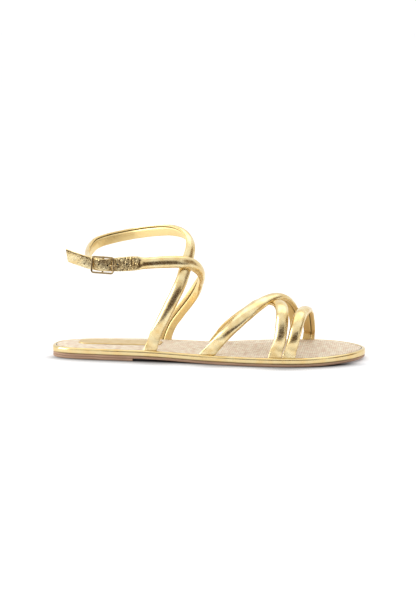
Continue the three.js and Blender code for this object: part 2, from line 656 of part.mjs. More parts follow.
function buckleFrame() {
  const ring = solidOf(wire(roundedRectangle(), BUCKLE_OUT, BUCKLE.wire, true));
  const upper = BAR_HALF.map(({ v, n }) => atBuckle(0, v, n));
  const lower = BAR_HALF.map(({ v, n }) => atBuckle(0, -v, n)).reverse();
  const bar = solidOf(wire([...upper, ...lower], BUCKLE.along, BUCKLE.barWire, false));
  return geometryOfSolid(ring.add(bar));
}

function prongPath(fromDeg) {
  const eye = [];
  for (let degrees = fromDeg; degrees <= PRONG.eyeToDeg; degrees += PRONG.eyeStepDeg) {
    const angle = degToRad(degrees);
    eye.push(atBuckle(PRONG.eye * Math.cos(angle), 0, PRONG.eye * Math.sin(angle)));
  }
  return [...eye, ...PRONG_TONGUE.map(({ u, n }) => atBuckle(u, 0, n))];
}

function prong() {
  return wire(prongPath(PRONG.eyeFromDeg), BUCKLE_UP, PRONG.wire, false);
}

function piece(name, geometry, finish) {
  const mesh = new THREE.Mesh(geometry, new THREE.MeshStandardMaterial(finish));
  mesh.name = name;
  return mesh;
}

const forefootStraps = strapSolid(UPPER_CROSS_STRAP).add(strapSolid(LOWER_CROSS_STRAP));

const sole = new THREE.Group();
sole.add(
  piece('heel_lift', heelLift(), MATERIALS.soleLeather),
  piece('outsole', outsole(), MATERIALS.soleLeather),
  piece('footbed', footbed(), MATERIALS.goldLeather),
  piece('insole_sock', insoleSock(), MATERIALS.wovenJute),
  piece('heel_label', heelLabel(), MATERIALS.labelLeather),
);

const upper = new THREE.Group();
upper.add(
  piece('ankle_straps', geometryOfSolid(ankleStraps()), MATERIALS.goldLeather),
  piece('forefoot_straps', geometryOfSolid(forefootStraps), MATERIALS.goldLeather),
  piece('toe_strap', geometryOfSolid(strapSolid(TOE_STRAP)), MATERIALS.goldLeather),
);

const buckle = new THREE.Group();
buckle.add(
  piece('buckle_frame', buckleFrame(), MATERIALS.goldMetal),
  piece('buckle_prong', prong(), MATERIALS.goldMetal),
);

const sandal = new THREE.Group();
sandal.add(sole, upper, buckle);
sandal.position.x = -HEEL_CENTRE;

export default sandal;
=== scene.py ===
"""Dresses a strappy flat sandal in gold foil leather, woven jute and tan sole leather.

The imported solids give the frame. Each sub-assembly below skins its own fine mesh over the same tables of
sizes that the solids come from, in millimetres, with stations that count from the back edge of the heel.
A finished mesh is in metres, in the frame of the solids.
"""

import logging
import math
from dataclasses import dataclass
from enum import Enum
from typing import Any, Callable, NamedTuple, Sequence

import bmesh
import bpy
import numpy as np
from mathutils import Matrix, Vector


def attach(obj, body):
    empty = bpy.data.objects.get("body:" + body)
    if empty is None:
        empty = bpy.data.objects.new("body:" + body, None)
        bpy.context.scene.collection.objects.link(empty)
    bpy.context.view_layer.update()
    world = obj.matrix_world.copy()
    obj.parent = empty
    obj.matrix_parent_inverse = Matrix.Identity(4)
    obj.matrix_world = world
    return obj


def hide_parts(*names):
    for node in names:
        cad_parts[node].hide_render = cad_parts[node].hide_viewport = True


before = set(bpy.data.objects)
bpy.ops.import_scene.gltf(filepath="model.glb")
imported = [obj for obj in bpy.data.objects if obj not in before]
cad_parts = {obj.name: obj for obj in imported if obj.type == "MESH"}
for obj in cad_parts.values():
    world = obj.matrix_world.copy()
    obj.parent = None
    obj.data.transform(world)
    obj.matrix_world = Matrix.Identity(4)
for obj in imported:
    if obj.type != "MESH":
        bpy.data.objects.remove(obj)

LOG = logging.getLogger("sandal")

MM = 0.001
BODY = "root"
HEEL_CENTRE = 32.5
LAY = "lay"
ZONES_AND_SHADE = "zones_and_shade"
WELD = 1e-7
SHARP_EDGE_DEG = 50


# Sizes in tables, in millimetres
class Side(Enum):
    """Side of the foot, with the sign of its y."""

    LATERAL = -1
    MEDIAL = 1


class OutlineRow(NamedTuple):
    """Edges of the footbed at one station, seen from above."""

    x: float
    lateral: float
    medial: float


class EdgeRow(NamedTuple):
    """One row of a layer's edge: how far in from the outline, and how far above its underside."""

    inset: float
    up: float


class TabEnd(NamedTuple):
    """Flat end of a strap in the footbed: its side, its station and its lean to the toe."""

    side: Side
    station: float
    lean: float


class FootRow(NamedTuple):
    """A strap's middle over the foot, the core that it faces away from, its width and thickness."""

    x: float
    y: float
    z: float
    core_x: float
    core_z: float
    wide: float
    thick: float


class BuckleRow(NamedTuple):
    """A strap's middle in the buckle's axes, its width and thickness, and how far its face looks down."""

    u: float
    v: float
    n: float
    wide: float
    thick: float
    lean_deg: float = 0.0


def linear(colour: str) -> tuple[float, float, float, float]:
    """Turns an sRGB hex colour to linear.

    Args:
        colour: Six hex digits, such as "E9CB8C".

    Returns:
        Linear red, green and blue, and an alpha of 1.
    """
    parts = [int(colour[i : i + 2], 16) / 255 for i in (0, 2, 4)]
    red, green, blue = (c / 12.92 if c <= 0.04045 else ((c + 0.055) / 1.055) ** 2.4 for c in parts)
    return (red, green, blue, 1.0)


def smoothstep(value: np.ndarray | float, low: float, high: float) -> np.ndarray | float:
    """Rises smoothly from 0 at low to 1 at high.

    Args:
        value: Where to read it.
        low: Start of the rise.
        high: End of the rise.

    Returns:
        The height at value.
    """
    share = np.clip((value - low) / (high - low), 0, 1)
    return share * share * (3 - 2 * share)


def unit(vectors: np.ndarray) -> np.ndarray:
    """Scales vectors to length 1.

    Args:
        vectors: An array whose last axis is x, y, z.

    Returns:
        The same directions with length 1.
    """
    return vectors / np.maximum(np.linalg.norm(vectors, axis=-1, keepdims=True), 1e-12)


class SmoothPath:
    """A centripetal Catmull-Rom curve through given points."""

    def __init__(self, points: Sequence[Sequence[float]], closed: bool = False) -> None:
        """Keeps the points.

        Args:
            points: The points that the curve goes through.
            closed: Whether it runs back to the first point.
        """
        self.points = np.array(points, float)
        self.closed = closed

    @property
    def spans(self) -> int:
        """Number of stretches between points."""
        return len(self.points) - (0 if self.closed else 1)

    def at(self, share: np.ndarray) -> tuple[np.ndarray, np.ndarray]:
        """Reads the curve.

        Args:
            share: Places along it from 0 to 1, with the same share for each span.

        Returns:
            The points there, and the unit tangents.
        """
        place = np.clip(share, 0, 1) * self.spans
        span = np.minimum(np.floor(place).astype(int), self.spans - 1)
        weight = (place - span)[:, None]
        p0, p1, p2, p3 = (self._point(span + step) for step in (-1, 0, 1, 2))
        d0, d1, d2 = (
            np.maximum(((b - a) ** 2).sum(1, keepdims=True) ** 0.25, 1e-4)
            for a, b in ((p0, p1), (p1, p2), (p2, p3))
        )
        start = ((p1 - p0) / d0 - (p2 - p0) / (d0 + d1) + (p2 - p1) / d1) * d1
        stop = ((p2 - p1) / d1 - (p3 - p1) / (d1 + d2) + (p3 - p2) / d2) * d1
        square = -3 * p1 + 3 * p2 - 2 * start - stop
        cube = 2 * p1 - 2 * p2 + start + stop
        point = p1 + start * weight + square * weight**2 + cube * weight**3
        slope = start + 2 * square * weight + 3 * cube * weight**2
        return point, unit(slope)

    def _point(self, index: np.ndarray) -> np.ndarray:
        """Finds points by number, carried on past open ends.

        Args:
            index: Their numbers, from one before the first to one or two past the last.

        Returns:
            The points.
        """
        count = len(self.points)
        if self.closed:
            return self.points[index % count]
        inside = self.points[np.clip(index, 0, count - 1)]
        before = 2 * self.points[0] - self.points[1]
        after = 2 * self.points[-1] - self.points[-2]
        inside = np.where((index < 0)[:, None], before, inside)
        return np.where((index >= count)[:, None], after, inside)


def softened(values: np.ndarray, reach: float) -> np.ndarray:
    """Smooths values along their first axis with a bell of the given reach, and keeps both ends.

    Args:
        values: One value or vector per step.
        reach: Width of the bell, in steps.

    Returns:
        The smoothed values.
    """
    half = int(3 * reach)
    bell = np.exp(-0.5 * (np.arange(-half, half + 1) / reach) ** 2)
    bell /= bell.sum()
    flat = values.reshape(len(values), -1)
    padded = np.concatenate([2 * flat[:1] - flat[half:0:-1], flat, 2 * flat[-1:] - flat[-2 : -half - 2 : -1]])
    columns = [np.convolve(column, bell, "valid") for column in padded.T]
    return np.array(columns).T.reshape(values.shape)


def ripple(places: np.ndarray, pitch: float, seed: int) -> np.ndarray:
    """A smooth uneven wave.

    Args:
        places: Where to read it, in millimetres.
        pitch: Usual distance between crests, in millimetres.
        seed: Number of the random draw.

    Returns:
        Heights from about -1 to 1.
    """
    draw = np.random.default_rng(seed)
    low = places.min() - 2 * pitch
    count = int((places.max() - low) / pitch * 2) + 6
    knots = low + np.cumsum(draw.uniform(0.35, 0.65, count)) * pitch
    heights = draw.uniform(0.4, 1.0, count) * np.where(np.arange(count) % 2, 1, -1)
    number = np.clip(np.searchsorted(knots, places) - 1, 0, count - 2)
    share = smoothstep((places - knots[number]) / (knots[number + 1] - knots[number]), 0, 1)
    return heights[number] * (1 - share) + heights[number + 1] * share


def to_frame(points: np.ndarray) -> np.ndarray:
    """Turns station millimetres to metres in the frame of the solids.

    Args:
        points: Points with x counted from the back edge of the heel.

    Returns:
        The same points in the frame.
    """
    return (points - np.array([HEEL_CENTRE, 0, 0])) * MM


# Meshes
def skin(
    rings: np.ndarray, lay: np.ndarray, zones_and_shade: np.ndarray | None = None, closed: bool = False
) -> bmesh.types.BMesh:
    """Wraps a grid round a row of closed rings.

    Args:
        rings: Points in station millimetres, ring by ring and round each ring.
        lay: For each point, its place on the surface: along, around, and nought.
        zones_and_shade: For each point, how much it is lining, seam and crinkled.
        closed: Whether the last ring joins the first.

    Returns:
        A mesh with its seams welded and its open ends filled.
    """
    grids = [to_frame(rings), lay, np.zeros_like(lay) if zones_and_shade is None else zones_and_shade]
    if closed:
        grids = [np.concatenate([grid, grid[:1]]) for grid in grids]
    places, lays, wears = (np.concatenate([grid, grid[:, :1]], axis=1) for grid in grids)
    along, around = places.shape[0] - 1, places.shape[1] - 1
    mesh = bmesh.new()
    lay_layer = mesh.verts.layers.float_vector.new(LAY)
    zones_and_shade_layer = mesh.verts.layers.float_vector.new(ZONES_AND_SHADE)
    bmesh.ops.create_grid(mesh, x_segments=around, y_segments=along, size=0.5)
    for vert in mesh.verts:
        i = round((vert.co.y + 0.5) * along)
        j = round((vert.co.x + 0.5) * around)
        vert.co = places[i, j]
        vert[lay_layer] = lays[i, j]
        vert[zones_and_shade_layer] = wears[i, j]
    bmesh.ops.remove_doubles(mesh, verts=mesh.verts, dist=WELD)
    bmesh.ops.dissolve_degenerate(mesh, edges=mesh.edges, dist=WELD)
    bmesh.ops.holes_fill(mesh, edges=[edge for edge in mesh.edges if edge.is_boundary], sides=0)
    bmesh.ops.recalc_face_normals(mesh, faces=mesh.faces)
    return mesh


def finished(
    mesh: bmesh.types.BMesh,
    name: str,
    material: bpy.types.Material,
    stands_for: Sequence[str] = (),
) -> bpy.types.Object:
    """Makes a mesh into a shaded piece that rides on the body.

    Args:
        mesh: The mesh, which is freed.
        name: Name of the piece.
        material: Its material.
        stands_for: Solids that it is shown in place of.

    Returns:
        The piece's object.
    """
    for face in mesh.faces:
        face.smooth = True
    limit = math.radians(SHARP_EDGE_DEG)
    for edge in mesh.edges:
        edge.smooth = edge.calc_face_angle(0) < limit
    data = bpy.data.meshes.new(name)
    mesh.to_mesh(data)
    mesh.free()
    data.materials.append(material)
    piece = bpy.data.objects.new(name, data)
    bpy.context.scene.collection.objects.link(piece)
    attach(piece, BODY)
    if stands_for:
        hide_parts(*stands_for)
    LOG.info("%s: %d vertices, %d faces", name, len(data.vertices), len(data.polygons))
    return piece


# Finishes
def add_node(
    tree: bpy.types.NodeTree,
    kind: str,
    settings: dict[str | int, Any] | None = None,
    links: dict[str | int, bpy.types.NodeSocket] | None = None,
) -> bpy.types.Node:
    """Adds a node with its settings and links.

    Args:
        tree: The node tree.
        kind: The node's type.
        settings: Values for its sockets, by name or number, or else for its own fields.
        links: Outputs of other nodes, by the socket that each goes into.

    Returns:
        The node.
    """
    node = tree.nodes.new(kind)
    for key, value in (settings or {}).items():
        if isinstance(key, int) or key in node.inputs:
            node.inputs[key].default_value = value
        else:
            setattr(node, key, value)
    for key, output in (links or {}).items():
        tree.links.new(output, node.inputs[key])
    return node


def new_material(name: str) -> tuple[bpy.types.Material, bpy.types.NodeTree, bpy.types.Node]:
    """Starts a material.

    Args:
        name: Its name.

    Returns:
        The material, its node tree, and its shader node.
    """
    material = bpy.data.materials.new(name)
    material.use_nodes = True
    return material, material.node_tree, material.node_tree.nodes["Principled BSDF"]


def bump_chain(
    tree: bpy.types.NodeTree, layers: Sequence[tuple[bpy.types.NodeSocket, float]]
) -> bpy.types.NodeSocket:
    """Stacks reliefs on each other.

    Args:
        tree: The node tree.
        layers: For each relief, its height output and its depth in millimetres.

    Returns:
        The normal output of the last one.
    """
    normal = None
    for height, depth in layers:
        links = {"Height": height}
        if normal:
            links["Normal"] = normal
        node = add_node(tree, "ShaderNodeBump", {"Strength": 1.0, "Distance": depth * MM}, links)
        normal = node.outputs["Normal"]
    return normal


@dataclass(frozen=True)
class FoilLeather:
    """Foil-coated leather: a soft mirror of pale gold foil, with creases where it bends.

    Its lining is painted a deeper gold as shade, its seam is dark, and crinkled flat parts break reflections
    up.
    The real grain and crinkle are too fine to show in the render, so both are drawn coarser.
    """

    name: str
    light: str = "ECDBAC"
    deep: str = "DDC188"
    # Lining tint: the same leather as the face, painted a deeper gold as shade
    lining: str = "EDD59A"
    # Seam colour: dark seams on the straps, and painted shade in the footbed's gap under the sock
    seam: str = "3A2A14"
    smooth: float = 0.2
    rough: float = 0.31
    lining_rough: float = 0.2
    dent_mm: float = 8.0
    dent_depth: float = 0.09
    crease_mm: float = 1.5
    crease_depth: float = 0.009
    crease_stretch: float = 0.12
    grain_mm: float = 0.9
    grain_depth: float = 0.0035
    crinkle_mm: float = 2.0
    crinkle_depth: float = 1.2
    crinkle_stretch: float = 0.45
    crinkle_turn: float = 0.9

    def material(self) -> bpy.types.Material:
        """Builds the material.

        Returns:
            The material, whose patterns follow the piece's own lay.
        """
        material, tree, shader = new_material(self.name)
        lay = add_node(tree, "ShaderNodeAttribute", {"attribute_name": LAY}).outputs["Vector"]
        zones_and_shade = add_node(tree, "ShaderNodeAttribute", {"attribute_name": ZONES_AND_SHADE}).outputs["Vector"]
        zones_and_shade_split = add_node(tree, "ShaderNodeSeparateXYZ", {}, {0: zones_and_shade})
        dents = self._noise(tree, lay, (1 / self.dent_mm, 1 / self.dent_mm), 1.0)
        creases = self._noise(tree, lay, (1 / self.crease_mm, self.crease_stretch / self.crease_mm), 2.0)
        grain = self._noise(tree, lay, (1 / self.grain_mm, 1 / self.grain_mm), 2.0)
        crinkle = self._crinkle(tree, lay, zones_and_shade_split.outputs["Z"])
        tone = add_node(
            tree, "ShaderNodeMapRange", {"From Min": 0.35, "From Max": 0.65}, {"Value": dents}
        ).outputs["Result"]
        colour = add_node(
            tree,
            "ShaderNodeMix",
            {"data_type": "RGBA", 6: linear(self.light), 7: linear(self.deep)},
            {0: tone},
        ).outputs[2]
        # Lining tint is painted shade; seam colour is dark seams on straps and painted gap shade on the
        # footbed
        for share, tint in ((zones_and_shade_split.outputs["X"], self.lining), (zones_and_shade_split.outputs["Y"], self.seam)):
            settings = {"data_type": "RGBA", 7: linear(tint)}
            colour = add_node(tree, "ShaderNodeMix", settings, {0: share, 6: colour}).outputs[2]
        rough = add_node(
            tree,
            "ShaderNodeMapRange",
            {"From Min": 0.3, "From Max": 0.7, "To Min": self.smooth, "To Max": self.rough},
            {"Value": creases},
        ).outputs["Result"]
        rough = add_node(
            tree,
            "ShaderNodeMath",
            {"operation": "MULTIPLY_ADD", 1: self.lining_rough},
            {0: zones_and_shade_split.outputs["X"], 2: rough},
        ).outputs[0]
        normal = bump_chain(
            tree,
            [
                (dents, self.dent_depth),
                (creases, self.crease_depth),
                (grain, self.grain_depth),
                (crinkle, self.crinkle_depth),
            ],
        )
        shader.inputs["Metallic"].default_value = 1.0
        tree.links.new(colour, shader.inputs["Base Color"])
        tree.links.new(rough, shader.inputs["Roughness"])
        tree.links.new(normal, shader.inputs["Normal"])
        return material

    def _crinkle(
        self, tree: bpy.types.NodeTree, lay: bpy.types.NodeSocket, mask: bpy.types.NodeSocket
    ) -> bpy.types.NodeSocket:
        """Adds slanting crinkles where the mask says.

        Args:
            tree: The node tree.
            lay: The lay, in millimetres.
            mask: How crinkled the leather is.

        Returns:
            Their height output.
        """
        scale = (1 / self.crinkle_mm, self.crinkle_stretch / self.crinkle_mm, 1)
        placing = {"Rotation": (0, 0, self.crinkle_turn), "Scale": scale}
        turned = add_node(tree, "ShaderNodeMapping", placing, {"Vector": lay}).outputs["Vector"]
        settings = {"Scale": 1.0, "Detail": 3.0, "Roughness": 0.65, "Distortion": 0.6}
        folds = add_node(tree, "ShaderNodeTexNoise", settings, {"Vector": turned}).outputs["Fac"]
        return add_node(tree, "ShaderNodeMath", {"operation": "MULTIPLY"}, {0: folds, 1: mask}).outputs[0]

    def _noise(
        self, tree: bpy.types.NodeTree, place: bpy.types.NodeSocket, scale: tuple[float, float], detail: float
    ) -> bpy.types.NodeSocket:
        """Adds noise stretched over the lay.

        Args:
            tree: The node tree.
            place: The lay, in millimetres.
            scale: Waves per millimetre along and around.
            detail: The noise's detail.

        Returns:
            Its height output.
        """
        placed = add_node(
            tree, "ShaderNodeVectorMath", {"operation": "MULTIPLY", 1: (*scale, 1.0)}, {0: place}
        ).outputs[0]
        settings = {"Scale": 1.0, "Detail": detail, "Roughness": 0.55}
        return add_node(tree, "ShaderNodeTexNoise", settings, {"Vector": placed}).outputs["Fac"]


@dataclass(frozen=True)
class WovenJute:
    """Plain weave of uneven natural yarn, matt, with paler and pinker yarns in it and painted shade between
    them.

    The real yarns lie closer together than the render can show, so the pitch is drawn coarser.
    """

    name: str
    pale: str = "E4DAC4"
    # Painted shade in the hollows between and under the yarns
    dark: str = "A48C6C"
    pink: str = "D2B9A1"
    pitch_mm: float = 1.7
    depth: float = 0.3
    wander_mm: float = 0.25
    wander_per_mm: float = 0.22
    cast_scale: tuple[float, float, float] = (0.4, 0.34, 1.0)
    cast_from: float = 0.4
    cast_to: float = 0.62
    fibres_per_yarn: float = 3.0
    weave_rise: float = 0.35
    rough: float = 0.92
    sheen: float = 0.15
    gloss: float = 0.3

    def material(self) -> bpy.types.Material:
        """Builds the material.

        Returns:
            The material, woven along and across the piece's own lay.
        """
        material, tree, shader = new_material(self.name)
        lay = add_node(tree, "ShaderNodeAttribute", {"attribute_name": LAY}).outputs["Vector"]
        wander = add_node(
            tree, "ShaderNodeTexNoise", {"Scale": self.wander_per_mm, "Detail": 2.0}, {"Vector": lay}
        ).outputs["Color"]
        centred = add_node(
            tree,
            "ShaderNodeVectorMath",
            {"operation": "MULTIPLY_ADD", 1: (2 * self.wander_mm,) * 3, 2: (-self.wander_mm,) * 3},
            {0: wander},
        ).outputs[0]
        moved = add_node(tree, "ShaderNodeVectorMath", {"operation": "ADD"}, {0: lay, 1: centred}).outputs[0]
        yarns = add_node(
            tree, "ShaderNodeVectorMath", {"operation": "SCALE", "Scale": 1 / self.pitch_mm}, {0: moved}
        ).outputs[0]
        split = add_node(tree, "ShaderNodeSeparateXYZ", {}, {0: yarns})
        along, across = split.outputs["X"], split.outputs["Y"]
        warp = self._yarn(tree, across, along, 1.0)
        weft = self._yarn(tree, along, across, -1.0)
        height = add_node(tree, "ShaderNodeMath", {"operation": "MAXIMUM"}, {0: warp, 1: weft}).outputs[0]
        spread = add_node(
            tree, "ShaderNodeVectorMath", {"operation": "MULTIPLY", 1: self.cast_scale}, {0: yarns}
        ).outputs[0]
        cast = add_node(
            tree, "ShaderNodeTexNoise", {"Scale": 1.0, "Detail": 3.0}, {"Vector": spread}
        ).outputs["Fac"]
        limits = {"From Min": self.cast_from, "From Max": self.cast_to}
        pinkness = add_node(tree, "ShaderNodeMapRange", limits, {"Value": cast}).outputs["Result"]
        fibre = add_node(
            tree, "ShaderNodeTexNoise", {"Scale": self.fibres_per_yarn, "Detail": 3.0}, {"Vector": yarns}
        ).outputs["Fac"]
        # Lower parts of the weave darken towards the dark colour: painted shade in its hollows
        depth = add_node(
            tree, "ShaderNodeMapRange", {"From Min": -0.1, "From Max": 1.0}, {"Value": height}
        ).outputs["Result"]
        yarn = add_node(
            tree,
            "ShaderNodeMix",
            {"data_type": "RGBA", 6: linear(self.pale), 7: linear(self.pink)},
            {0: pinkness},
        ).outputs[2]
        shade = add_node(
            tree,
            "ShaderNodeMix",
            {"data_type": "RGBA", 6: linear(self.dark)},
            {0: depth, 7: yarn},
        ).outputs[2]
        normal = bump_chain(tree, [(height, self.depth), (fibre, self.depth / 4)])
        shader.inputs["Roughness"].default_value = self.rough
        shader.inputs["Sheen Weight"].default_value = self.sheen
        shader.inputs["Specular IOR Level"].default_value = self.gloss
        tree.links.new(shade, shader.inputs["Base Color"])
        tree.links.new(normal, shader.inputs["Normal"])
        return material

    def _yarn(
        self,
        tree: bpy.types.NodeTree,
        across: bpy.types.NodeSocket,
        along: bpy.types.NodeSocket,
        sign: float,
    ) -> bpy.types.NodeSocket:
        """Height of one family of yarns, which rise and dive along their length.

        Args:
            tree: The node tree.
            across: Place across the yarns, in yarns.
            along: Place along them, in yarns.
            sign: 1 or -1, which is over where they cross.

        Returns:
            The height output.
        """
        turn = add_node(tree, "ShaderNodeMath", {"operation": "FLOOR"}, {0: across}).outputs[0]
        phase = add_node(tree, "ShaderNodeMath", {"operation": "ADD"}, {0: along, 1: turn}).outputs[0]
        half_turns = {"operation": "MULTIPLY", 1: math.pi}
        angle = add_node(tree, "ShaderNodeMath", half_turns, {0: phase}).outputs[0]
        wave = add_node(tree, "ShaderNodeMath", {"operation": "SINE"}, {0: angle}).outputs[0]
        middle = add_node(tree, "ShaderNodeMath", {"operation": "PINGPONG", 1: 0.5}, {0: across}).outputs[0]
        bulge = add_node(tree, "ShaderNodeMath", half_turns, {0: middle}).outputs[0]
        body = add_node(tree, "ShaderNodeMath", {"operation": "SINE"}, {0: bulge}).outputs[0]
        rise = {"operation": "MULTIPLY_ADD", 1: self.weave_rise * sign}
        return add_node(tree, "ShaderNodeMath", rise, {0: wave, 2: body}).outputs[0]


@dataclass(frozen=True)
class SoleLeather:
    """Compressed sole leather: tan, satin, with faint lengthwise streaks on its cut edge.

    Its real fibres are too fine to show in the render, so the streaks are drawn coarser.
    """

    name: str
    light: str = "AC896E"
    dark: str = "8C6B54"
    streak_mm: float = 0.7
    streak_long_mm: float = 20.0
    streak_depth: float = 0.05
    pores_per_mm: float = 1.4
    pore_depth: float = 0.04
    rough: float = 0.5
    gloss: float = 0.5

    def material(self) -> bpy.types.Material:
        """Builds the material.

        Returns:
            The material.
        """
        material, tree, shader = new_material(self.name)
        lay = add_node(tree, "ShaderNodeAttribute", {"attribute_name": LAY}).outputs["Vector"]
        placed = add_node(
            tree,
            "ShaderNodeVectorMath",
            {"operation": "MULTIPLY", 1: (1 / self.streak_long_mm, 1 / self.streak_mm, 1.0)},
            {0: lay},
        ).outputs[0]
        streaks = add_node(
            tree, "ShaderNodeTexNoise", {"Scale": 1.0, "Detail": 4.0}, {"Vector": placed}
        ).outputs["Fac"]
        pores = add_node(
            tree, "ShaderNodeTexNoise", {"Scale": self.pores_per_mm, "Detail": 4.0}, {"Vector": lay}
        ).outputs["Fac"]
        share = add_node(
            tree, "ShaderNodeMapRange", {"From Min": 0.35, "From Max": 0.65}, {"Value": streaks}
        ).outputs["Result"]
        colour = add_node(
            tree,
            "ShaderNodeMix",
            {"data_type": "RGBA", 6: linear(self.light), 7: linear(self.dark)},
            {0: share},
        ).outputs[2]
        normal = bump_chain(tree, [(streaks, self.streak_depth), (pores, self.pore_depth)])
        shader.inputs["Roughness"].default_value = self.rough
        shader.inputs["Specular IOR Level"].default_value = self.gloss
        tree.links.new(colour, shader.inputs["Base Color"])
        tree.links.new(normal, shader.inputs["Normal"])
        return material


# Bare brown leather without gloss, darkened with painted shade, so the punched holes read as dark dots
RAW_LEATHER_AND_HOLE_SHADE = SoleLeather("Raw leather with painted shade in the punched holes", "2E2115", "241A10", rough=1.0, gloss=0.0)


@dataclass(frozen=True)
class PlatedMetal:
    """Polished steel with a pale gold plating, with faint polishing waves."""

    name: str
    colour: str = "B5A07A"
    rough: float = 0.1
    rough_below: float = 0.05
    rough_above: float = 0.08
    wave_mm: float = 2.5
    wave_depth: float = 0.01

    def material(self) -> bpy.types.Material:
        """Builds the material.

        Returns:
            The material.
        """
        material, tree, shader = new_material(self.name)
        place = add_node(tree, "ShaderNodeTexCoord").outputs["Object"]
        waves = add_node(
            tree, "ShaderNodeTexNoise", {"Scale": 1 / (self.wave_mm * MM), "Detail": 2.0}, {"Vector": place}
        ).outputs["Fac"]
        rough = add_node(
            tree,
            "ShaderNodeMapRange",
            {"To Min": self.rough - self.rough_below, "To Max": self.rough + self.rough_above},
            {"Value": waves},
        ).outputs["Result"]
        shader.inputs["Metallic"].default_value = 1.0
        shader.inputs["Base Color"].default_value = linear(self.colour)
        tree.links.new(rough, shader.inputs["Roughness"])
        tree.links.new(bump_chain(tree, [(waves, self.wave_depth)]), shader.inputs["Normal"])
        return material


